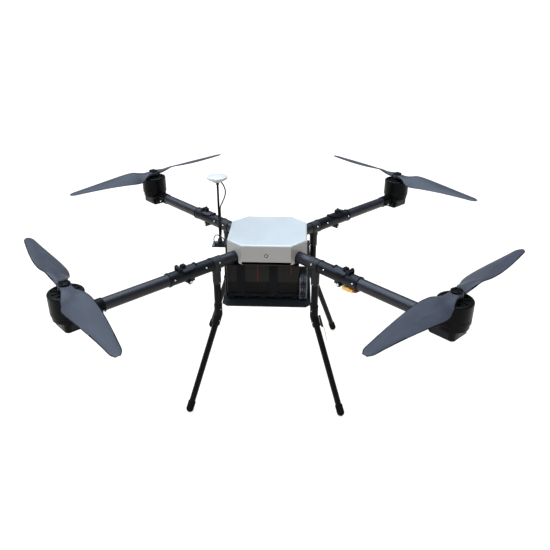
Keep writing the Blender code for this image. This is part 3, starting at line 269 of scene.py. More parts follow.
def mottled(name, colour, roughness, metallic=0.0, grain=900.0, depth=0.00004, spread=0.25,
            **sockets):
    """Moulded, painted or anodised surface: broad tone drift, a fine grain in the relief and in the gloss."""
    made = Finish(name, colour, roughness, metallic, **sockets)
    broad = made.noise(made.place(), 28.0, 4.0)
    fine = made.noise(made.place(), grain, 2.0)
    made.colour(made.blend(made.spread(broad, 0.0, 1.0, 0.3, 0.7), shade(colour, 1 - spread),
                           shade(colour, 1 + spread)))
    mixed = made.math("ADD", made.math("MULTIPLY", broad, 0.5), made.math("MULTIPLY", fine, 0.5))
    made.rough(made.spread(mixed, roughness * 0.8, min(1.0, roughness * 1.25), 0.25, 0.75))
    return made.relief(fine, depth, 0.5)


def canopy_paint_and_side_shade(name, colour):
    """Satin paint with painted shade down the sides: a tone deeper and warmer there than on top."""
    made = mottled(name, colour, 0.34, 0.0, 2600.0, 0.000012, 0.03, Coat_Weight=0.35,
                   Coat_Roughness=0.16)
    mixed = made.shader.inputs["Base Color"].links[0].from_socket
    where = node(made.tree, "SeparateXYZ", {0: made.place()}).outputs["Z"]
    # Painted shade: below the top's edge the paint is darkened to 0.74 and warmed, standing in for the sides
    # getting less light than the top.
    side = made.spread(where, 0.74, 1.0, CANOPY_HIGH.z - 0.0050, CANOPY_HIGH.z - 0.0015)
    warm_side_shade = node(made.tree, "CombineColor",
                {0: made.math("POWER", side, 0.75), 1: side, 2: made.math("POWER", side, 1.15)})
    side_shaded = node(made.tree, "Mix", {0: 1.0, 6: mixed, 7: warm_side_shade.outputs[0]}, data_type="RGBA",
                 blend_type="MULTIPLY")
    return made.colour(side_shaded.outputs[2])


def woven_carbon(name, colour, roughness, kind, weave=0.0020, **sockets):
    """Carbon cloth under clear resin: a two-by-two twill whose tows catch the light in turn."""
    made = Finish(name, colour, roughness, **sockets)
    flat = made.place(kind, (1 / weave, 1 / weave, 1 / weave), (0, 0, math.radians(45)))
    checks = node(made.tree, "TexChecker", {
        "Vector": flat, "Scale": 1.0, "Color1": (1, 1, 1, 1),
        "Color2": (0, 0, 0, 1)}).outputs["Fac"]
    tows_a = made.wave(flat, 3.0, "X")
    tows_b = made.wave(flat, 3.0, "Y")
    tows = node(made.tree, "Mix", {0: checks, 2: tows_a, 3: tows_b}).outputs[0]
    drift = made.noise(made.place(), 35.0, 4.0)
    tone = made.math("ADD", made.math("MULTIPLY", checks, 0.45), made.math("MULTIPLY", tows, 0.3))
    tone = made.math("ADD", tone, made.math("MULTIPLY", drift, 0.4))
    made.colour(made.blend(made.spread(tone, 0.0, 1.0, 0.2, 1.0), shade(colour, 0.72),
                           shade(colour, 1.35)))
    made.rough(made.spread(drift, roughness * 0.8, roughness * 1.2, 0.3, 0.7))
    return made.relief(tows, 0.00003, 0.4)


def blade_carbon(name, colour):
    """Lengthwise carbon under satin resin; UV runs along the blade and across it, in metres."""
    made = Finish(name, colour, 0.48, Coat_Weight=0.03, Coat_Roughness=0.3)
    threads = made.noise(made.place("UV", (9.0, 2600.0, 1.0)), 1.0, 3.0, 0.6)
    cloudy = made.noise(made.place("UV", (14.0, 60.0, 1.0)), 1.0, 3.0)
    tone = made.math("ADD", made.math("MULTIPLY", threads, 0.65),
                     made.math("MULTIPLY", cloudy, 0.35))
    made.colour(made.blend(made.spread(tone, 0.0, 1.0, 0.32, 0.68), shade(colour, 0.62),
                           shade(colour, 1.45)))
    made.rough(made.spread(cloudy, 0.42, 0.56, 0.3, 0.7))
    return made.relief(threads, 0.00003, 0.5)


def brushed_steel(name, colour):
    made = Finish(name, colour, 0.28, 1.0)
    lines = made.noise(made.place("Object", (900.0, 900.0, 120.0)), 1.0, 2.0)
    made.colour(made.blend(made.spread(lines, 0.0, 1.0, 0.3, 0.7), shade(colour, 0.75),
                           shade(colour, 1.2)))
    return made.rough(made.spread(lines, 0.20, 0.42, 0.3, 0.7)).relief(lines, 0.00002, 0.4)


def webbing(name, colour):
    """Woven strap; UV runs along the strap and across it, in metres."""
    made = Finish(name, colour, 0.88, Sheen_Weight=0.12, Sheen_Roughness=0.5)
    place = made.place("UV", (1.0, 1.0, 1.0))
    ribs = made.wave(place, 210.0, "X", 0.4)
    rows = made.wave(place, 160.0, "Y", 0.4)
    cloth = made.math("MULTIPLY", ribs, rows)
    fuzz = made.noise(made.place(), 700.0, 3.0)
    tone = made.math("ADD", made.math("MULTIPLY", cloth, 0.6), made.math("MULTIPLY", fuzz, 0.5))
    made.colour(made.blend(made.spread(tone, 0.0, 1.0, 0.15, 0.9), shade(colour, 0.55),
                           shade(colour, 1.9)))
    return made.relief(cloth, 0.00025, 0.8)


def battery_wrap(name, colour):
    """Shrink wrap over the cells: a lighter sheet above, painted shade darkening it below, with its printed
    side stripes.
    """
    made = Finish(name, colour, 0.5, Specular_IOR_Level=0.10, Coat_Weight=0.03, Coat_Roughness=0.35)
    where = node(made.tree, "SeparateXYZ", {0: made.place()}).outputs
    split = PACK_LOW.z + (PACK_HIGH.z - PACK_LOW.z) * 0.42
    upper = made.spread(where["Z"], 0.0, 1.0, split - 0.0008, split + 0.0008)
    creases = made.noise(made.place("Object", (40.0, 40.0, 9.0)), 1.0, 4.0, 0.6)
    sheet = made.blend(made.spread(creases, 0.0, 1.0, 0.3, 0.7), shade(colour, 0.75),
                       shade(colour, 1.25))
    # Painted shade: below the line the wrap is darkened to 0.15 of its colour.
    body = made.blend(upper, shade(colour, 0.15), sheet)
    stripe = 0.0
    for x, low in ((-0.0235, split), (0.0640, split + 0.024)):
        near = made.math("COMPARE", where["X"], x)
        near.node.inputs[2].default_value = 0.0011
        high = made.math("GREATER_THAN", where["Z"], low)
        mark = made.math("MULTIPLY", near, high)
        stripe = mark if stripe == 0.0 else made.math("MAXIMUM", stripe, mark)
    made.colour(made.blend(stripe, body, (0.110, 0.012, 0.012)))
    made.rough(made.spread(creases, 0.38, 0.62, 0.3, 0.7))
    return made.relief(creases, 0.0006, 0.35)


def ribbed_tape(name, colour):
    """Cloth tape wound round a rod."""
    made = Finish(name, colour, 0.7, Sheen_Weight=0.1)
    turns = made.wave(made.place(), 55.0, "Z", 0.8)
    fine = made.noise(made.place(), 1400.0, 2.0)
    made.colour(made.blend(turns, shade(colour, 0.6), shade(colour, 1.6)))
    return made.relief(made.math("ADD", turns, made.math("MULTIPLY", fine, 0.3)), 0.0002, 0.7)


FINISHES = {}


def prepare_finishes(scene):
    """Make every finish once, in the colours that the settings hold."""
    centre, arm, rotor = scene.quad_centre, scene.quad_arm, scene.quad_rotor
    leg, pack, mast = scene.quad_leg, scene.quad_battery, scene.quad_mast
    made = {
        "shell": canopy_paint_and_side_shade("canopy_satin_paint_side_shade", centre.shell),
        "plate": woven_carbon("carbon_plate_cloth", centre.plate, 0.36, "Object", Coat_Weight=0.2,
                              Coat_Roughness=0.2),
        "tube": woven_carbon("carbon_tube_cloth", arm.tube, 0.38, "UV", 0.0016, Coat_Weight=0.15,
                             Coat_Roughness=0.3),
        "metal": mottled("black_anodised_metal", arm.metal, 0.36, 0.35, 1500.0, 0.00003, 0.2),
        "latch": mottled("black_cast_latch", shade(arm.metal, 0.85), 0.30, 0.3, 1100.0, 0.00004,
                         0.2),
        "steel": brushed_steel("screw_steel", (0.78, 0.78, 0.79)),
        "dark_steel": brushed_steel("blackened_steel", (0.045, 0.045, 0.047)),
        "blade": blade_carbon("blade_carbon_satin", rotor.blade),
        "bell": mottled("motor_black", rotor.bell, 0.36, 0.3, 1800.0, 0.00002, 0.2),
        "copper": mottled("winding_copper", (0.10, 0.040, 0.020), 0.45, 0.7, 700.0, 0.0001, 0.35),
        "leg": mottled("leg_black_nylon", leg.tube, 0.5, 0.0, 1600.0, 0.00004, 0.2),
        "leg_tube": woven_carbon("leg_carbon_cloth", shade(leg.tube, 1.1), 0.42, "UV", 0.0016),
        "rubber": mottled("foot_rubber", leg.rubber, 0.82, 0.0, 1200.0, 0.00008, 0.3),
        "nylon": mottled("black_nylon_moulding", (0.014, 0.014, 0.015), 0.48, 0.0, 1400.0, 0.00005,
                         0.25),
        "wrap": battery_wrap("battery_shrink_wrap_lower_shade", pack.wrap),
        "webbing": webbing("strap_webbing_cloth", pack.webbing),
        "module": mottled("module_grey_case", pack.module, 0.42, 0.1, 1500.0, 0.00003, 0.12),
        "case": mottled("controller_case_plastic", (0.016, 0.018, 0.022), 0.45, 0.0, 1500.0,
                        0.00004, 0.2),
        "puck": mottled("puck_white_plastic", mast.puck, 0.30, 0.0, 2000.0, 0.000012, 0.02,
                        Coat_Weight=0.2, Coat_Roughness=0.2),
        "puck_base": mottled("puck_grey_plastic", (0.30, 0.31, 0.33), 0.4, 0.0, 1600.0, 0.00003,
                             0.08),
        "cable": mottled("cable_pvc_jacket", mast.cable, 0.5, 0.0, 900.0, 0.00005, 0.25),
        "tape": ribbed_tape("mast_cloth_tape", (0.012, 0.012, 0.013)),
        "plug": mottled("plug_yellow_plastic", (0.76, 0.40, 0.09), 0.42, 0.0, 1500.0, 0.00004, 0.1),
        "red_wire": mottled("red_wire_silicone", (0.40, 0.016, 0.014), 0.5, 0.0, 900.0, 0.00004,
                            0.15),
        "green_wire": mottled("green_wire_silicone", (0.03, 0.16, 0.05), 0.5, 0.0, 900.0, 0.00004,
                              0.15),
        "foam": mottled("pad_foam", (0.062, 0.066, 0.070), 0.8, 0.0, 600.0, 0.0003, 0.3),
    }
    FINISHES.update({key: value.material for key, value in made.items()})


# Mesh building with bmesh operators.

UV_NAME = "UVMap"


def uv_layer(bm):
    return bm.loops.layers.uv.get(UV_NAME) or bm.loops.layers.uv.new(UV_NAME)


def lathe(profile, segments=48, axis="Z", closed=False):
    """Spin a profile of (radius, along) points about an axis through the origin."""
    bm = bmesh.new()
    points = [bm.verts.new((radius, 0, along)) for radius, along in profile]
    edges = [bm.edges.new(pair) for pair in zip(points, points[1:])]
    if closed:
        edges.append(bm.edges.new((points[-1], points[0])))
    bmesh.ops.spin(
        bm, geom=points + edges, cent=(0, 0, 0), axis=(0, 0, 1),
        angle=2 * math.pi, steps=segments, use_merge=True)
    bmesh.ops.remove_doubles(bm, verts=bm.verts, dist=1e-7)
    bmesh.ops.recalc_face_normals(bm, faces=bm.faces)
    if axis == "X":
        bmesh.ops.rotate(bm, matrix=Matrix.Rotation(math.pi / 2, 3, "Y"), verts=bm.verts)
    if axis == "Y":
        bmesh.ops.rotate(bm, matrix=Matrix.Rotation(-math.pi / 2, 3, "X"), verts=bm.verts)
    return bm


def rod(radius, start, end, axis="Z", edge=0.0003, segments=32):
    """Solid round bar with eased rims."""
    edge = min(edge, radius * 0.4, (end - start) * 0.4)
    profile = [(0, start), (radius - edge, start), (radius, start + edge),
               (radius, end - edge), (radius - edge, end), (0, end)]
    return lathe(profile, segments, axis)


def pipe(inner, outer, start, end, axis="Z", edge=0.0002, segments=48):
    ring = [(inner, start), (outer - edge, start), (outer, start + edge),
            (outer, end - edge), (outer - edge, end), (inner, end)]
    return lathe(ring, segments, axis, closed=True)


def block(low, high, edge=0.0005, segments=2):
    """Box with eased edges."""
    bm = bmesh.new()
    bmesh.ops.create_cube(bm, size=1.0)
    bmesh.ops.scale(bm, vec=[b - a for a, b in zip(low, high)], verts=bm.verts)
    bmesh.ops.translate(bm, vec=[(a + b) / 2 for a, b in zip(low, high)], verts=bm.verts)
    bmesh.ops.bevel(bm, geom=bm.edges[:], offset=edge, segments=segments, affect="EDGES",
                    profile=0.5, material=-1)
    return bm


def loft(rows, around, place, closed=False):
    """Wrap a grid round a form: place(along, turn) gives a point and its UV, both counted from 0 to 1."""
    bm = bmesh.new()
    bmesh.ops.create_grid(bm, x_segments=around, y_segments=rows, size=0.5)
    layer = uv_layer(bm)
    placed = {vert: place(vert.co.y + 0.5, vert.co.x + 0.5) for vert in bm.verts}
    for face in bm.faces:
        for loop in face.loops:
            loop[layer].uv = placed[loop.vert][1]
    for vert, (point, _) in placed.items():
        vert.co = point
    bmesh.ops.remove_doubles(bm, verts=bm.verts, dist=1e-7)
    if not closed:
        bmesh.ops.holes_fill(bm, edges=[e for e in bm.edges if e.is_boundary], sides=0)
    bmesh.ops.recalc_face_normals(bm, faces=bm.faces)
    return bm


def route(points, spacing=0.002):
    """Evenly spaced points on a smooth curve through the given ones."""
    points = [Vector(p) for p in points]
    ends = [points[0] * 2 - points[1], *points, points[-1] * 2 - points[-2]]
    fine = []
    for a, b, c, d in zip(ends, ends[1:], ends[2:], ends[3:]):
        steps = max(1, round((c - b).length / spacing))
        for k in range(steps):
            t = k / steps
            fine.append(0.5 * (2 * b + (c - a) * t + (2 * a - 5 * b + 4 * c - d) * t ** 2
                               + (3 * b - a - 3 * c + d) * t ** 3))
    return fine + [points[-1]]


def strand(points, radius, around=12):
    """Round wire or cable along a smooth route."""
    line = route(points, max(0.0012, radius))
    sides = []
    side = (line[1] - line[0]).orthogonal().normalized()
    for k, point in enumerate(line):
        ahead = (line[min(k + 1, len(line) - 1)] - line[max(k - 1, 0)]).normalized()
        side = (side - ahead * side.dot(ahead)).normalized()
        sides.append((side, ahead.cross(side)))

    def place(along, turn):
        k = round(along * (len(line) - 1))
        first, second = sides[k]
        angle = 2 * math.pi * turn
        reach = first * math.cos(angle) + second * math.sin(angle)
        return line[k] + reach * radius, (k * 0.0012, turn * 2 * math.pi * radius)

    return loft(len(line) - 1, around, place)


def screw(radius, height):
    """Socket head screw standing on the origin along +Z, with its recess."""
    bm = bmesh.new()
    bmesh.ops.create_cone(bm, cap_ends=True, segments=12, radius1=radius, radius2=radius,
                          depth=height)
    bmesh.ops.translate(bm, vec=(0, 0, height / 2), verts=bm.verts)
    top = [f for f in bm.faces if f.normal.z > 0.9]
    bmesh.ops.bevel(bm, geom=top[0].edges[:], offset=radius * 0.18, segments=1, affect="EDGES",
                    profile=0.5, material=-1)
    top = [max((f for f in bm.faces if f.normal.z > 0.9), key=lambda f: f.calc_area())]
    bmesh.ops.inset_region(bm, faces=top, thickness=radius * 0.30)
    sunk = bmesh.ops.extrude_face_region(bm, geom=top)["geom"]
    bmesh.ops.delete(bm, geom=[f for f in top if f.is_valid], context="FACES_ONLY")
    lowered = [item for item in sunk if isinstance(item, bmesh.types.BMVert)]
    bmesh.ops.translate(bm, vec=(0, 0, -height * 0.55), verts=lowered)
    return bm


def aim(at, way):
    """Matrix that stands a piece made along +Z on a point, facing a direction."""
    turn = Vector((0, 0, 1)).rotation_difference(Vector(way)).to_matrix().to_4x4()
    return Matrix.Translation(at) @ turn


def wrap_uv(bm, radius):
    """Lay the UV map round the X axis, in metres."""
    layer = uv_layer(bm)
    for face in bm.faces:
        centre = face.calc_center_median()
        middle = math.atan2(centre.y, centre.z)
        for loop in face.loops:
            co = loop.vert.co
            turn = (math.atan2(co.y, co.z) - middle + math.pi) % (2 * math.pi) - math.pi
            loop[layer].uv = (co.x, (middle + turn) * radius)
    return bm


def cad_copy(name, merge_flats=True):
    """A CAD node's shape with its loose triangles joined up."""
    bm = bmesh.new()
    bm.from_mesh(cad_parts[name].data)
    bmesh.ops.remove_doubles(bm, verts=bm.verts, dist=2e-6)
    if merge_flats:
        bmesh.ops.dissolve_limit(bm, angle_limit=math.radians(0.4), verts=bm.verts, edges=bm.edges)
    return bm


class Piece:
    """Gathers the parts of one piece, each in its own finish, and puts the piece in the scene."""

    def __init__(self):
        self.bm = bmesh.new()
        self.finishes = []
        uv_layer(self.bm)

    def add(self, part, finish, matrix=None, marked=(), marking=None):
        if finish not in self.finishes:
            self.finishes.append(finish)
        if matrix is not None:
            bmesh.ops.transform(part, matrix=matrix, verts=part.verts)
            if matrix.determinant() < 0:
                bmesh.ops.reverse_faces(part, faces=part.faces)
        if marking and marking not in self.finishes:
            self.finishes.append(marking)
        for face in part.faces:
            face.material_index = self.finishes.index(finish)
        for face in marked:
            face.material_index = self.finishes.index(marking)
        uv_layer(part)
        mesh = bpy.data.meshes.new("part")
        part.to_mesh(mesh)
        part.free()
        self.bm.from_mesh(mesh)
        bpy.data.meshes.remove(mesh)
        return self

    def done(self, name, body, slot, replaces=(), sharp=38.0, ease=0.0):
        mesh = bpy.data.meshes.new(name)
        self.bm.to_mesh(mesh)
        self.bm.free()
        for finish in self.finishes:
            mesh.materials.append(FINISHES[finish])
        mesh.shade_smooth()
        mesh.set_sharp_from_angle(angle=math.radians(sharp))
        made = bpy.data.objects.new(name, mesh)
        bpy.context.scene.collection.objects.link(made)
        if ease:
            soft = made.modifiers.new("eased_edges", "BEVEL")
            soft.width = ease
            soft.segments = 2
            soft.limit_method = "ANGLE"
            soft.angle_limit = math.radians(40)
            soft.harden_normals = False
        weigh = made.modifiers.new("weighted_normals", "WEIGHTED_NORMAL")
        weigh.keep_sharp = True
        if body:
            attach(made, body)
        if replaces:
            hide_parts(*replaces)
        return made


def arm_matrix(corner):
    turn = Matrix.Rotation(math.radians(CORNERS[corner]), 4, "Z")
    return Matrix.Translation((0, 0, ARM_AXIS)) @ turn


# Pieces.

class QUADCOPTER_OT_stage(bpy.types.Operator):
    """Set up the floor, the soft studio light and the camera"""
    bl_idname = "quadcopter.stage"
    bl_label = "Stage"

    def execute(self, context):
        settings = context.scene.quad_stage
        self.floor(settings)
        self.light(context, settings)
        self.camera(context)
        return {"FINISHED"}

    def floor(self, settings):
        bm = bmesh.new()
        bmesh.ops.create_circle(bm, cap_ends=True, radius=300.0, segments=64)
        mesh = bpy.data.meshes.new("studio_floor")
        bm.to_mesh(mesh)
        bm.free()
        paint = Finish("studio_floor_paint", settings.floor, 0.9)
        drift = paint.noise(paint.place(), 1.5, 2.0)
        paint.colour(paint.blend(drift, shade(settings.floor, 0.995), shade(settings.floor, 1.005)))
        paint.shader.inputs["Emission Color"].default_value = (1.0, 0.96, 0.91, 1.0)
        paint.shader.inputs["Emission Strength"].default_value = settings.floor_glow
        mesh.materials.append(paint.material)
        made = bpy.data.objects.new("studio_floor", mesh)
        bpy.context.scene.collection.objects.link(made)

    def light(self, context, settings):
        sun_data = bpy.data.lights.new("overhead_softbox", "SUN")
        sun_data.energy = settings.key_strength
        sun_data.angle = math.radians(84)
        sun_data.color = (0.72, 0.86, 1.0)
        sun = bpy.data.objects.new("overhead_softbox", sun_data)
        sun.rotation_euler = (math.radians(-4), math.radians(-13), 0)
        context.scene.collection.objects.link(sun)
        world = bpy.data.worlds.new("studio_room")
        world.use_nodes = True
        tree = world.node_tree
        background = tree.nodes["Background"]
        place = node(tree, "TexCoord").outputs["Generated"]
        height = node(tree, "SeparateXYZ", {0: place}).outputs["Z"]
        rise = node(tree, "MapRange", {"Value": height, "From Min": 0.0, "From Max": 0.75})
        tint = node(tree, "Mix",
                    {0: rise.outputs[0], 6: (1.0, 0.98, 0.95, 1.0), 7: (0.80, 0.90, 1.0, 1.0)},
                    data_type="RGBA")
        tree.links.new(tint.outputs[2], background.inputs["Color"])
        seen = node(tree, "LightPath").outputs["Is Camera Ray"]
        strength = node(tree, "Mix", {0: seen, 2: settings.fill_strength, 3: 1.0})
        tree.links.new(strength.outputs[0], background.inputs["Strength"])
        context.scene.world = world

    def camera(self, context):
        data = bpy.data.cameras.new("studio_camera")
        data.sensor_width = 36.0
        data.lens = 37.69
        data.clip_end = 1000.0
        camera = bpy.data.objects.new("studio_camera", data)
        camera.location = (0.0762, -1.4292, 1.0315)
        camera.rotation_euler = (math.radians(63.19), 0.0, math.radians(2.32))
        context.scene.collection.objects.link(camera)
        context.scene.camera = camera
        context.scene.view_settings.view_transform = "Standard"


class QUADCOPTER_OT_canopy(bpy.types.Operator):
    """Add the satin canopy with its fasteners, and finish the plates and controller under it"""
    bl_idname = "quadcopter.canopy"
    bl_label = "Canopy and plates"

    def execute(self, context):
        piece = Piece().add(cad_copy("canopy"), "shell")
        radius = context.scene.quad_centre.fastener
        half = CANOPY_HIGH.x
        height = ARM_AXIS + 0.0113
        sides = (((0, -half), (0, -1, 0)), ((0, half), (0, 1, 0)), ((-half, 0), (-1, 0, 0)),
                 ((half, 0), (1, 0, 0)))
        for (x, y), way in sides:
            at = aim((x, y, height), way)
            piece.add(self.washer(radius), "dark_steel", at)
            piece.add(screw(radius * 0.60, 0.0016), "puck", at)
        for corner, angle in CORNERS.items():
            spin = Matrix.Rotation(math.radians(angle), 4, "Z")
            flat = (CANOPY_HIGH.x - 0.0206) * math.sqrt(2)
            for across in (-0.0225, 0.0225):
                at = spin @ aim((flat, across, ARM_AXIS - 0.0120), (1, 0, 0))
                piece.add(screw(0.0014, 0.0009), "steel", at)
        piece.done("canopy_shell", "airframe", "canopy_silver", ["canopy"], sharp=30)
        for name in ("frame_plate_upper", "frame_plate_lower"):
            Piece().add(cad_copy(name), "plate").done(
                name + "_carbon", "airframe", "carbon_plate", [name], ease=0.0004)
        self.controller()
        return {"FINISHED"}

    def washer(self, radius):
        return lathe([(radius * 0.5, -0.0004), (radius, -0.0004), (radius, 0.0005),
                      (radius * 0.85, 0.0009),
                      (radius * 0.6, 0.0004), (radius * 0.5, 0.0004)], 32, closed=True)

    def controller(self):
        low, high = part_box("flight_controller")
        piece = Piece().add(block(low, high, 0.0020, 3), "case")
        for k in range(5):
            x = low.x + 0.010 + k * 0.010
            piece.add(block((x - 0.0035, low.y - 0.0012, low.z + 0.003),
                            (x + 0.0035, low.y + 0.004, low.z + 0.008)), "nylon")
        piece.done("controller_case", "airframe", "controller_case", ["flight_controller"])


class QUADCOPTER_OT_arms(bpy.types.Operator):
    """Add the arm tubes, the fold joints with their latches, and the leg clamps"""
    bl_idname = "quadcopter.arms"
    bl_label = "Arms and fold joints"

    def execute(self, context):
        radius = context.scene.quad_arm.screw
        for corner in CORNERS:
            matrix = arm_matrix(corner)
            self.tubes(corner, matrix)
            self.inner_half(corner, matrix, radius)
            self.outer_half(corner, matrix, radius)
            self.latch(corner, matrix)
            self.clamp(corner, matrix, radius)
        return {"FINISHED"}

    def tubes(self, corner, matrix):
        for name, start, end, body in (
                ("arm_root_tube", 0.046, 0.236, "airframe"),
                ("arm_tube", 0.2853, 0.52325, "arm_" + corner)):
            tube = wrap_uv(pipe(TUBE_R - TUBE_WALL, TUBE_R, start, end, "X"), TUBE_R)
            piece = Piece().add(tube, "tube", matrix)
            piece.done(f"{name}_{corner}_cloth", body, "carbon_tube", [f"{name}_{corner}"])

    def side_screw(self, piece, matrix, station, rise, side, radius, reach=SLEEVE_R,
                   finish="steel"):
        """A screw head on the side of a round sleeve, a given height above the arm's axis."""
        across = math.sqrt(reach ** 2 - rise ** 2)
        seat = aim((station, side * (across - 0.0004), rise), (0, side, 0))
        piece.add(screw(radius, 0.0022), finish, matrix @ seat)

    def inner_half(self, corner, matrix, radius):
        piece = Piece().add(cad_copy(f"fold_inner_{corner}"), "metal")
        shown = SHOWN_SIDE[corner]
        self.side_screw(piece, matrix, 0.2190, 0.0056, shown, radius)
        self.side_screw(piece, matrix, 0.2190, 0.0056, -shown, radius, finish="dark_steel")
        for rise in (1, -1):
            seat = aim((0.2190, 0, rise * (SLEEVE_R - 0.0002)), (0, 0, rise))
            piece.add(screw(0.0017, 0.0010), "dark_steel", matrix @ seat)
        for side in (-1, 1):
            seat = aim((FOLD_STATION, side * 0.0156, -HINGE_DROP), (0, side, 0))
            piece.add(screw(0.0034, 0.0016), "steel" if side == shown else "dark_steel",
                      matrix @ seat)
        piece.done(f"fold_inner_{corner}_sleeve", "airframe", "black_anodised",
                   [f"fold_inner_{corner}"])

    def outer_half(self, corner, matrix, radius):
        piece = Piece().add(cad_copy(f"fold_outer_{corner}"), "metal")
        shown = SHOWN_SIDE[corner]
        self.side_screw(piece, matrix, 0.3110, 0.0031, shown, radius,
                        finish="dark_steel" if corner == "bl" else "steel")
        self.side_screw(piece, matrix, 0.3110, 0.0031, -shown, radius, finish="dark_steel")
        for rise in (1, -1):
            seat = aim((0.3110, 0, rise * (SLEEVE_R - 0.0002)), (0, 0, rise))
            piece.add(screw(0.0017, 0.0010), "dark_steel", matrix @ seat)
        for side in (-1, 1):
            seat = aim((LATCH_AT[0], side * 0.0102, LATCH_AT[1]), (0, side, 0))
            piece.add(screw(0.0023, 0.0010), "dark_steel", matrix @ seat)
        piece.done(f"fold_outer_{corner}_sleeve", "arm_" + corner, "black_anodised",
                   [f"fold_outer_{corner}"])

    def latch(self, corner, matrix):
        piece = Piece().add(cad_copy(f"fold_latch_{corner}"), "latch")
        for k in range(3):
            x = 0.2715 + k * 0.0032
            piece.add(block((x, -0.0055, 0.0270), (x + 0.0012, 0.0055, 0.0281), 0.0004), "latch",
                      matrix)
        piece.done(f"fold_latch_{corner}_body", "latch_" + corner, "latch_black",
                   [f"fold_latch_{corner}"])

    def clamp(self, corner, matrix, radius):
        piece = Piece().add(cad_copy(f"leg_clamp_{corner}"), "nylon")
        shown = SHOWN_SIDE[corner]
        self.side_screw(piece, matrix, TEE_STATION, 0.0056, shown, radius)
        self.side_screw(piece, matrix, TEE_STATION, 0.0056, -shown, radius, finish="dark_steel")
        for turn in range(4):
            way = Vector((math.cos(turn * math.pi / 2), math.sin(turn * math.pi / 2), 0))
            at = Vector((TEE_STATION, 0, -0.0530)) + way * 0.0107
            piece.add(screw(0.0013, 0.0011), "steel", matrix @ aim(at, way))
        piece.done(f"leg_clamp_{corner}_tee", "airframe", "black_nylon", [f"leg_clamp_{corner}"])


class QUADCOPTER_OT_motors(bpy.types.Operator):
    """Add the motor mounts and the motors"""
    bl_idname = "quadcopter.motors"
    bl_label = "Motors and mounts"

    def execute(self, context):
        vents = context.scene.quad_rotor.vents
        for corner in CORNERS:
            matrix = arm_matrix(corner)
            self.mount(corner, matrix)
            self.bell(corner, matrix, vents)
        return {"FINISHED"}

    def mount(self, corner, matrix):
        piece = Piece().add(cad_copy(f"motor_mount_{corner}"), "bell")
        for side in (-1, 1):
            seat = aim((0.4990, side * 0.0213, -0.0040), (0, side, 0))
            piece.add(screw(0.0021, 0.0018), "steel", matrix @ seat)
            panel = Matrix.Translation((0.5575, side * 0.0284, -0.0095))
            piece.add(block((-0.0205, -0.0009, -0.0075), (0.0205, 0.0009, 0.0075), 0.0006), "metal",
                      matrix @ panel)
            for along in (-0.0175, 0.0175):
                seat = panel @ aim((along, side * 0.0007, 0.0), (0, side, 0))
                piece.add(screw(0.0014, 0.0010), "dark_steel", matrix @ seat)
        piece.add(block((0.5888, -0.0150, -0.0170), (0.5901, 0.0150, -0.0040), 0.0006), "metal",
                  matrix)
        for k in range(12):
            turn = Matrix.Rotation(2 * math.pi * k / 12, 4, "Z")
            at = matrix @ Matrix.Translation((HUB_RADIUS, 0, 0)) @ turn
            piece.add(block((0.0185, -0.0048, 0.0400), (0.0320, 0.0048, 0.0505), 0.0022, 2),
                      "copper", at)
        piece.done(f"motor_mount_{corner}_housing", "arm_" + corner, "motor_housing",
                   [f"motor_mount_{corner}"])

    def bell(self, corner, matrix, vents):
        at = matrix @ Matrix.Translation((HUB_RADIUS, 0, BELL_START))
        piece = Piece().add(self.shell(), "bell", at)
        top = BELL_HEIGHT
        piece.add(lathe([(0, top - 0.0065), (0.0160, top - 0.0065), (0.0163, top - 0.0008),
                         (0.0155, top),
                         (0.0151, top), (0.0151, top + 0.0064), (0.0146, top + 0.0070),
                         (0, top + 0.0070)]), "bell", at)
        piece.add(rod(0.0040, -0.0100, top - 0.006), "steel", at)
        for k in range(vents):
            turn = Matrix.Rotation(2 * math.pi * k / vents, 4, "Z")
            piece.add(self.spoke(2 * math.pi / vents * 0.72), "bell", at @ turn)
        for k in range(4):
            turn = math.pi / 2 * k + math.pi / 4
            seat = Matrix.Translation((0.0345 * math.cos(turn), 0.0345 * math.sin(turn),
                                       top - 0.0004))
            piece.add(screw(0.0013, 0.0009), "dark_steel", at @ seat)
        piece.done(f"motor_bell_{corner}_can", "rotor_" + corner, "motor_bell",
                   [f"motor_bell_{corner}"])

    def shell(self):
        r, h, curve = BELL_R, BELL_HEIGHT, 0.0038
        profile = [(r - 0.0026, 0.0), (r - 0.0005, 0.0), (r, 0.0005), (r, 0.0092),
                   (r - 0.0007, 0.0098),
                   (r - 0.0007, 0.0110), (r, 0.0116), (r, h - curve)]
        for step in range(1, 7):
            angle = math.pi / 2 * step / 6
            profile.append((r - curve + curve * math.cos(angle),
                            h - curve + curve * math.sin(angle)))
        profile += [(r - 0.0078, h), (r - 0.0084, h - 0.0005), (r - 0.0084, h - 0.0050),
                    (r - 0.0026, h - 0.0070)]
        return lathe(profile, 72, closed=True)

    def spoke(self, width):
        """One spoke of the vented top, swept through a small angle."""
        bm = bmesh.new()
        near, far, low, high = 0.0150, BELL_R - 0.0080, BELL_HEIGHT - 0.0048, BELL_HEIGHT - 0.0010
        corners = [(near, low), (far, low), (far, high), (near, high)]
        face = bm.faces.new([bm.verts.new((x, 0, z)) for x, z in corners])
        bmesh.ops.spin(bm, geom=[face], cent=(0, 0, 0), axis=(0, 0, 1), angle=width, steps=4)
        bmesh.ops.recalc_face_normals(bm, faces=bm.faces)
        return bm


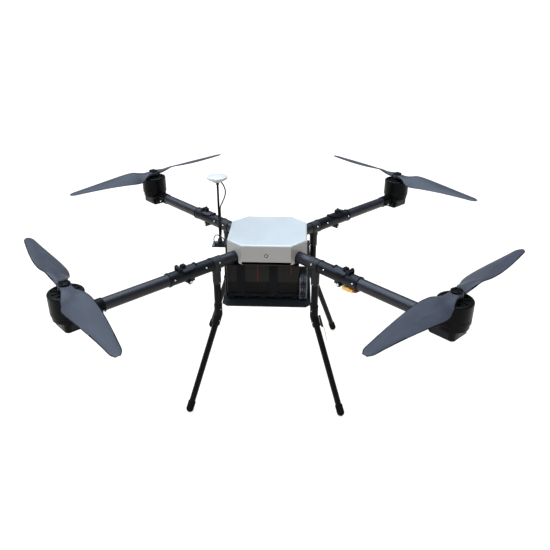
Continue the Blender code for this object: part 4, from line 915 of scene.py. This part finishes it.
class QUADCOPTER_OT_propellers(bpy.types.Operator):
    """Add the four carbon propellers with their clamp caps"""
    bl_idname = "quadcopter.propellers"
    bl_label = "Propellers"

    def execute(self, context):
        for corner in CORNERS:
            centre = arm_matrix(corner) @ Vector((HUB_RADIUS, 0, SEAT_RISE))
            turn = Matrix.Rotation(math.radians(BLADE_LINE[corner]), 4, "Z")
            at = Matrix.Translation(centre) @ turn
            if SPIN[corner] < 0:
                at = at @ Matrix.Scale(-1, 4, (0, 1, 0))
            piece = Piece()
            for half in range(2):
                blade = self.blade()
                rims = [f for f in blade.faces if self.on_rim(f.calc_center_median())]
                piece.add(blade, "blade", at @ Matrix.Rotation(math.pi * half, 4, "Z"), rims,
                          "bell")
            self.hub(piece, at)
            piece.done(f"propeller_{corner}_blades", "rotor_" + corner, "blade_carbon",
                       [f"propeller_{corner}"], sharp=55)
        return {"FINISHED"}

    def station(self, share):
        """Leading half chord, trailing half chord and thickness at a share of the radius."""
        table = BLADE_STATIONS
        k = max(i for i, row in enumerate(table[:-1]) if row[0] <= share + 1e-9)
        before, near, far, after = table[max(k - 1, 0)], table[k], table[k + 1], table[min(k + 2,
            len(table) - 1)]
        span = far[0] - near[0]
        t = (share - near[0]) / span
        values = []
        for column in (1, 2, 3):
            slope_near = (far[column] - before[column]) / max(far[0] - before[0], 1e-6) * span
            slope_far = (after[column] - near[column]) / max(after[0] - near[0], 1e-6) * span
            values.append((2 * t ** 3 - 3 * t ** 2 + 1) * near[column] + (t ** 3 - 2 * t ** 2 + t) * slope_near
                          + (3 * t ** 2 - 2 * t ** 3) * far[column] + (t ** 3 - t ** 2) * slope_far)
        return values

    def twist(self, share):
        if share <= 0.065:
            return 0.0
        full = math.atan(PROP_PITCH / (2 * math.pi * max(share, 0.22) * PROP_RADIUS))
        ramp = min(1.0, (share - 0.065) / 0.155)
        return full * ramp * ramp * (3 - 2 * ramp)

    def on_rim(self, place):
        """Whether a point on a blade lies on its thin leading or trailing rim."""
        share = min(place.x / PROP_RADIUS, 0.9999)
        if share < 0.12:
            return False
        lead, trail, thick = self.station(share)
        lean = self.twist(share)
        across = place.y * math.cos(lean) + (place.z - HUB_THICK / 2) * math.sin(lean)
        return across > lead - 0.0019 or across < 0.0019 - trail

    def squared(self, value, power):
        return math.copysign(abs(value) ** power, value)

    def blade(self):
        rows, around, root = 96, 36, 0.040

        def place(along, turn):
            share = root + (1.0 - root) * (1 - (1 - along) ** 1.25)
            lead, trail, thick = self.station(min(share, 1.0))
            angle = 2 * math.pi * turn
            foil = min(1.0, max(0.0, (share - 0.09) / 0.10))
            square = 1 - 0.6 * (1 - foil)
            lean_x, lean_y = self.squared(math.cos(angle), square), self.squared(math.sin(angle),
                square)
            across = lean_x * (lead if lean_x > 0 else trail)
            chord = (1 - math.cos(angle)) / 2
            oval = lean_y * thick / 2
            wing = math.copysign(1.45 * math.sqrt(chord) * (1 - chord) + 0.04,
                                 math.sin(angle)) * thick * 0.9
            wing = wing * (1.0 if math.sin(angle) >= 0 else 0.55) * min(1.0,
                abs(math.sin(angle)) * 3)
            camber = 0.05 * (lead + trail) * 4 * chord * (1 - chord)
            rise = oval * (1 - foil) + (wing + camber) * foil
            lean = self.twist(share)
            point = Vector((share * PROP_RADIUS, across * math.cos(lean) - rise * math.sin(lean),
                            HUB_THICK / 2 + across * math.sin(lean) + rise * math.cos(lean)))
            return point, (share * PROP_RADIUS, across)

        return loft(rows, around, place)

    def hub(self, piece, at):
        """Dark spacer below, the blades' own root disc, and the clamp cap with its screws on top."""
        spacer = HUB_THICK * 0.18
        piece.add(lathe([(0, 0), (HUB_R - 0.0004, 0), (HUB_R, 0.0004), (HUB_R, spacer),
                         (0, spacer)]), "bell", at)
        piece.add(lathe([(0, spacer), (HUB_R, spacer), (HUB_R, HUB_THICK - 0.0010),
                         (HUB_R - 0.0006, HUB_THICK - 0.0004), (0, HUB_THICK - 0.0004)]), "blade",
                         at)
        cap_r, base, top = 0.0131, HUB_THICK - 0.0006, HUB_THICK + 0.0040
        piece.add(lathe([(0, base), (cap_r, base), (cap_r, top - 0.0012),
                         (cap_r - 0.0003, top - 0.0005),
                         (cap_r - 0.0012, top), (0.0050, top + 0.0002), (0.0046, top - 0.0008),
                         (0, top - 0.0008)]), "bell", at)
        for k in range(4):
            turn = math.pi / 2 * k + math.pi / 4
            seat = Matrix.Translation((0.0086 * math.cos(turn), 0.0086 * math.sin(turn),
                                       top - 0.0004))
            piece.add(screw(0.0027, 0.0022), "bell", at @ seat)
        for side in (-1, 1):
            for across in (-0.0052, 0.0052):
                seat = Matrix.Translation((side * 0.0235, across, HUB_THICK / 2 + 0.0034))
                piece.add(screw(0.0013, 0.0010), "dark_steel", at @ seat)


class QUADCOPTER_OT_legs(bpy.types.Operator):
    """Add the landing legs with their elbows and rubber feet"""
    bl_idname = "quadcopter.legs"
    bl_label = "Landing legs"

    def execute(self, context):
        reach = TEE_STATION / math.sqrt(2)
        for corner in CORNERS:
            side_x = 1 if corner[1] == "r" else -1
            side_y = 1 if corner[0] == "b" else -1
            bend = Vector((side_x * reach, side_y * reach, LEG_BEND))
            low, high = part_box(f"leg_upper_{corner}")
            tube = pipe(0.0077, 0.0092, low.z - LEG_BEND, high.z - LEG_BEND, "X")
            turn = Matrix.Translation(bend) @ Matrix.Rotation(-math.pi / 2, 4, "Y")
            piece = Piece().add(wrap_uv(tube, 0.0092), "leg_tube", turn)
            piece.done(f"leg_upper_{corner}_tube", "airframe", "leg_nylon", [f"leg_upper_{corner}"])
            self.lower(corner, bend, side_x, side_y)
        return {"FINISHED"}

    def lower(self, corner, bend, side_x, side_y):
        drop = LEG_BEND - 0.010
        share = drop / LEG_BEND
        way = Vector((side_x * LEG_SPLAY[0] * share, side_y * LEG_SPLAY[1] * share, -drop))
        length = way.length
        turn = Matrix.Translation(bend) @ Vector((0, 0,
                                                  -1)).rotation_difference(way).to_matrix().to_4x4()
        here = Matrix.Translation(bend)
        elbow = 0.0107
        piece = Piece()
        piece.add(lathe([(0.0094, 0.0085), (elbow, 0.0), (elbow, 0.0285), (elbow + 0.0003, 0.0287),
                         (elbow + 0.0003, 0.0306), (elbow - 0.0001, 0.0310), (0.0094, 0.0310)],
                         closed=True), "leg", here)
        piece.add(lathe([(elbow * math.sin(math.radians(a)), -elbow * math.cos(math.radians(a)))
                         for a in range(0, 181, 9)]), "leg", here)
        piece.add(lathe([(0, 0.004), (elbow * 0.92, 0.0), (elbow, -0.003), (elbow, -0.0265),
                         (elbow + 0.0003, -0.0268),
                         (elbow + 0.0003, -0.0284), (elbow - 0.0004, -0.0290), (0.0080, -0.0290),
                         (0, -0.0290)]), "leg", turn)
        shank = rod(0.0080, 0.0280, length - 0.0150, "X")
        lay = turn @ Matrix.Rotation(math.pi / 2, 4, "Y")
        piece.add(wrap_uv(shank, 0.0080), "leg_tube", lay)
        piece.add(self.foot(length), "rubber", turn)
        out = Vector((side_x, side_y, 0)).normalized()
        for at in (Vector((0, 0, 0.0180)), way.normalized() * 0.0150):
            for side in (-1, 1):
                facing = Vector((-out.y, out.x, 0)) * side
                piece.add(screw(0.0014, 0.0010), "steel", here @ aim(at + facing * 0.0104, facing))
        piece.done(f"leg_lower_{corner}_shank", "airframe", "leg_lower", [f"leg_lower_{corner}"])

    def foot(self, length):
        r = 0.0100
        top = 0.0220 - length
        profile = [(0.0080, top), (r - 0.0012, top), (r - 0.0003, top - 0.0008), (r, top - 0.0022)]
        for ring in (0.35, 0.55):
            z = top - 0.0220 * ring
            profile += [(r, z + 0.0008), (r - 0.0004, z), (r, z - 0.0008)]
        for step in range(0, 9):
            angle = math.pi / 2 * step / 8
            profile.append((r * math.cos(angle), -length - r * math.sin(angle)))
        return lathe([(0, top)] + profile)


class QUADCOPTER_OT_battery(bpy.types.Operator):
    """Add the battery with its straps, the tray and the power module"""
    bl_idname = "quadcopter.battery"
    bl_label = "Battery bay"

    def execute(self, context):
        Piece().add(block(PACK_LOW, PACK_HIGH, 0.0040, 4), "wrap").done(
            "battery_pack", "airframe", "battery_wrap", ["battery"])
        for side, x in STRAPS.items():
            self.strap(side, x)
        piece = Piece().add(cad_copy("battery_tray"), "plate")
        tray_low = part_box("battery_tray")[0]
        back = PACK_LOW.y + 0.0110
        pad_low = (PACK_LOW.x + 0.0080, back, tray_low.z + 0.0050)
        piece.add(block(pad_low, (PACK_HIGH.x - 0.0080, back + 0.0040, PACK_LOW.z - 0.0025),
                        0.0006), "foam")
        piece.done("battery_tray_carbon", "airframe", "carbon_plate", ["battery_tray"])
        self.module()
        return {"FINISHED"}

    def strap(self, side, x):
        """Webbing drawn tight round the pack."""
        low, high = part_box(f"battery_strap_{side}")
        thick, width = 0.0016, 0.0210
        half_y, half_z = (high.y - low.y) / 2, (high.z - low.z) / 2
        centre = Vector((x, 0, (low.z + high.z) / 2))
        corner = 0.0035

        def place(along, turn):
            inset = thick * (1 if 0.25 <= turn % 1.0 < 0.75 else 0)
            across = width / 2 * self.side_of(turn)
            outline, run = self.outline(along, half_y - inset, half_z - inset, corner)
            return centre + Vector((across, outline[0], outline[1])), (run, across + inset * 0.5)

        band = loft(96, 4, place, closed=True)
        piece = Piece().add(band, "webbing")
        piece.done(f"battery_strap_{side}_band", "airframe", "strap_webbing",
                   [f"battery_strap_{side}"])

    def side_of(self, turn):
        return 1 if turn % 1.0 < 0.125 or 0.375 <= turn % 1.0 < 0.625 else -1

    def outline(self, along, half_y, half_z, corner):
        """Point on a rounded rectangle, and how far along it lies."""
        straight_y, straight_z = 2 * (half_y - corner), 2 * (half_z - corner)
        arc = math.pi / 2 * corner
        total = 2 * (straight_y + straight_z) + 4 * arc
        run = (along % 1.0) * total
        rest = run
        y, z, heading = -half_y + corner, -half_z, 0.0
        for straight in (straight_y, straight_z, straight_y, straight_z):
            if rest <= straight:
                return (y + rest * math.cos(heading), z + rest * math.sin(heading)), run
            y, z = y + straight * math.cos(heading), z + straight * math.sin(heading)
            rest -= straight
            turned = min(rest / corner, math.pi / 2)
            pivot = (y - corner * math.sin(heading), z + corner * math.cos(heading))
            here = (pivot[0] + corner * math.sin(heading + turned),
                    pivot[1] - corner * math.cos(heading + turned))
            if rest <= arc:
                return here, run
            y, z = here
            heading += math.pi / 2
            rest -= arc
        return (y, z), run

    def module(self):
        low, high = MODULE_LOW.copy(), MODULE_HIGH.copy()
        front = low.y + 0.012
        piece = Piece().add(block((low.x, front, low.z), (high.x, high.y, high.z), 0.0018, 3),
                            "module")
        piece.add(block((low.x + 0.002, front - 0.0006, low.z + 0.004),
                        (high.x - 0.002, front + 0.001, high.z - 0.004)), "module")
        height = high.z - low.z
        for share in (0.18, 0.62):
            z = low.z + height * share
            piece.add(block((low.x + 0.003, low.y + 0.0005, z),
                            (high.x - 0.003, front + 0.002, z + 0.010), 0.0012), "nylon")
            for k in range(3):
                x = low.x + 0.006 + k * 0.0045
                piece.add(strand([(x, low.y + 0.004, z + 0.008), (x, low.y + 0.001, z + 0.012),
                                  (x + 0.001, low.y + 0.003, z + 0.022),
                                  (x - 0.001, front - 0.002, z + 0.030)],
                                 0.0012, 10), "cable")
        for z in (low.z + 0.006, high.z - 0.006):
            piece.add(screw(0.0018, 0.0012), "steel",
                      aim((high.x - 0.005, front - 0.0004, z), (0, -1, 0)))
        piece.done("power_module_case", "airframe", "module_grey", ["power_module"])


class QUADCOPTER_OT_mast(bpy.types.Operator):
    """Add the antenna mast on its folding base, with its puck and cable"""
    bl_idname = "quadcopter.mast"
    bl_label = "Antenna mast"

    def execute(self, context):
        self.base()
        self.rod()
        self.puck()
        self.cable(context.scene.quad_mast.cable_width / 2)
        return {"FINISHED"}

    def base(self):
        piece = Piece().add(cad_copy("gps_base"), "nylon")
        low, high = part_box("gps_base")
        for column in range(5):
            for row in range(6):
                x = low.x + 0.0045 + column * 0.0062
                y = low.y + 0.0038 + row * 0.0062
                if abs(x - MAST_AT[0]) < 0.012 and abs(y - MAST_AT[1]) < 0.012:
                    continue
                piece.add(lathe([(0.0011, 0), (0.0019, 0), (0.0019, 0.0005), (0.0011, 0.0005)], 12,
                                closed=True),
                          "puck_base", Matrix.Translation((x, y, 0.3909)))
        for side in (-1, 1):
            seat = aim((MAST_AT[0], MAST_AT[1] + side * 0.0082, MAST_PIVOT), (0, side, 0))
            piece.add(screw(0.0022, 0.0014), "steel", seat)
        piece.done("gps_base_hinge", "airframe", "black_nylon", ["gps_base"])

    def rod(self):
        at = Matrix.Translation((*MAST_AT, MAST_PIVOT))
        piece = Piece().add(rod(0.0042, -0.0048, 0.0048, "Y"), "nylon", at)
        top = PUCK_LOW.z - MAST_PIVOT - 0.0003
        piece.add(rod(0.0028, 0.0, top), "leg_tube", at)
        piece.add(lathe([(0, top - 0.0080), (0.0038, top - 0.0075), (0.0044, top - 0.0060),
                         (0.0044, top), (0, top)]), "nylon", at)
        profile = [(0, 0.038)]
        for k in range(16):
            z = 0.038 + 0.030 * k / 15
            profile.append((0.0050 - (0.0003 if k % 2 else 0.0), z))
        piece.add(lathe(profile + [(0, 0.068)]), "tape", at)
        piece.done("gps_mast_rod", "gps_mast", "black_nylon", ["gps_mast"])

    def puck(self):
        """Stepped puck: domed lid, white rim, and the grey base that narrows towards the mast."""
        r, low, high = 0.0270, PUCK_LOW.z, PUCK_HIGH.z
        h = high - low
        at = Matrix.Translation((*MAST_AT, low))
        top = [(r * 0.86, h * 0.46), (r * 0.97, h * 0.48), (r, h * 0.53), (r, h * 0.66),
               (r * 0.985, h * 0.70),
               (r * 0.955, h * 0.71), (r * 0.955, h * 0.73), (r * 0.975, h * 0.74),
               (r * 0.97, h * 0.80),
               (r * 0.90, h * 0.87), (r * 0.80, h * 0.90), (r * 0.79, h * 0.885),
               (r * 0.78, h * 0.905),
               (r * 0.60, h * 0.95), (r * 0.35, h * 0.985), (0, h)]
        piece = Piece().add(lathe([(0, h * 0.44)] + top, 64), "puck", at)
        base = [(0, 0), (r * 0.45, 0), (r * 0.62, h * 0.20), (r * 0.66, h * 0.21),
                (r * 0.86, h * 0.38),
                (r * 0.89, h * 0.41), (r * 0.89, h * 0.48), (0, h * 0.48)]
        piece.add(lathe(base, 64), "puck_base", at)
        piece.add(lathe([(r * 0.953, h * 0.700), (r * 0.962, h * 0.700), (r * 0.962, h * 0.740),
                         (r * 0.953, h * 0.740)],
                        64, closed=True), "puck_base", at)
        piece.done("gps_puck_cap", "gps_mast", "puck_white", ["gps_puck"])

    def cable(self, radius):
        """One cable from the puck down the mast, across the hinge and in under the canopy."""
        beside = 0.0041
        under = PUCK_LOW.z - MAST_PIVOT - 0.0008
        points = [
            (0.0095, 0, under), (0.0150, 0, under - 0.0080), (0.0195, 0, under - 0.0220),
            (0.0180, 0, under - 0.0380),
            (0.0105, 0, under - 0.0560), (beside + 0.0004, 0, under - 0.0700), (beside, 0, 0.0680),
            (beside, 0, 0.0380),
            (beside, -0.0010, 0.0240), (beside - 0.0006, -0.0055, 0.0145),
            (0.0012, -0.0104, 0.0072), (0, -0.0110, 0.0),
            (-0.0026, -0.0112, -0.0052), (-0.0085, -0.0114, -0.0062), (-0.0135, -0.0114, -0.0078),
            (-0.0110, -0.0112, -0.0122), (0.0020, -0.0110, -0.0122), (0.0180, -0.0100, -0.0122),
            (0.0330, -0.0090, -0.0122),
        ]
        route_points = [Vector(p) + Vector((*MAST_AT, MAST_PIVOT)) for p in points]
        made = Piece().add(strand(route_points, radius), "cable").done(
            "gps_cable_run", None, "cable_jacket", ["gps_cable", "gps_cable_tail"])
        for side, reach in ((-1, 0.0150), (1, 0.0130)):
            self.spare_loop(side, reach, radius)
        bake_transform(made)

    def spare_loop(self, side, reach, radius):
        """Spare cable coiled in a small upright loop in front of the mast's foot, on the frame."""
        middle = Vector((MAST_AT[0] + side * 0.0055, MAST_AT[1] - 0.0170 - side * 0.0018,
                         MAST_PIVOT + reach - 0.0090))
        points = [middle + Vector((reach * 0.62 * math.cos(a), 0.0008 * math.sin(2 * a),
                                   reach * math.sin(a)))
                  for a in (math.radians(step) for step in range(-80, 261, 20))]
        Piece().add(strand(points, radius * 0.75), "cable").done(
            "gps_spare_loop_" + ("right" if side > 0 else "left"), "airframe", "cable_jacket")


class QUADCOPTER_OT_extras(bpy.types.Operator):
    """Add the power plug under the front right arm and the receiver's aerial"""
    bl_idname = "quadcopter.extras"
    bl_label = "Plug and aerial"

    def execute(self, context):
        self.plug()
        self.aerial()
        return {"FINISHED"}

    def plug(self):
        matrix = arm_matrix("fr")
        low, high = 0.2770, 0.3130
        z = -0.0258
        piece = Piece().add(block((low, -0.0140, z), (high - 0.013, 0.0020, z + 0.0085), 0.0014, 3),
                            "plug", matrix)
        piece.add(block((high - 0.0145, -0.0130, z + 0.0008), (high - 0.003, 0.0010, z + 0.0078),
                        0.0010, 2), "plug", matrix)
        for y, finish in ((-0.0100, "red_wire"), (-0.0020, "cable"), (-0.0060, "green_wire")):
            piece.add(strand([(high - 0.004, y, z + 0.0045), (high + 0.004, y, z + 0.0050),
                              (high + 0.010, y * 0.7, z + 0.0095)],
                             0.0014, 10), finish, matrix)
        piece.done("power_plug_body", "arm_fr", "plug_yellow", ["power_plug"])

    def aerial(self):
        piece = Piece().add(cad_copy("receiver_antenna"), "nylon")
        low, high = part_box("receiver_antenna")
        middle = (low + high) / 2
        tip = Vector((high.x, low.y, low.z))
        piece.add(strand([middle + Vector((0.002, -0.001, -0.008)),
                          tip + Vector((0.003, -0.001, -0.004)),
                          tip + Vector((0.006, -0.004, -0.016)),
                          tip + Vector((0.009, -0.008, -0.030))],
                         0.0006, 8), "cable")
        piece.done("receiver_antenna_stub", "airframe", "black_nylon", ["receiver_antenna"])


class QUADCOPTER_PT_panel(bpy.types.Panel):
    """Lists the operators that build the quadcopter"""
    bl_label = "Quadcopter"
    bl_idname = "QUADCOPTER_PT_panel"
    bl_space_type = "VIEW_3D"
    bl_region_type = "UI"
    bl_category = "Quadcopter"

    def draw(self, context):
        for operator in OPERATORS:
            self.layout.operator(operator.bl_idname)


OPERATORS = (
    QUADCOPTER_OT_stage, QUADCOPTER_OT_canopy, QUADCOPTER_OT_arms, QUADCOPTER_OT_motors,
    QUADCOPTER_OT_propellers,
    QUADCOPTER_OT_legs, QUADCOPTER_OT_battery, QUADCOPTER_OT_mast, QUADCOPTER_OT_extras,
)
SETTINGS = {
    "quad_stage": StageSettings, "quad_centre": CentreSettings, "quad_arm": ArmSettings,
    "quad_rotor": RotorSettings,
    "quad_leg": LegSettings, "quad_battery": BatterySettings, "quad_mast": MastSettings,
}


def register():
    for group in SETTINGS.values():
        bpy.utils.register_class(group)
    for name, group in SETTINGS.items():
        setattr(bpy.types.Scene, name, bpy.props.PointerProperty(type=group))
    for made in (*OPERATORS, QUADCOPTER_PT_panel):
        bpy.utils.register_class(made)


def unregister():
    for made in (QUADCOPTER_PT_panel, *reversed(OPERATORS)):
        bpy.utils.unregister_class(made)
    for name, group in SETTINGS.items():
        delattr(bpy.types.Scene, name)
        bpy.utils.unregister_class(group)


def main():
    register()
    prepare_finishes(bpy.context.scene)
    for operator in OPERATORS:
        group, name = operator.bl_idname.split(".")
        getattr(getattr(bpy.ops, group), name)()


if __name__ == "__main__":
    main()
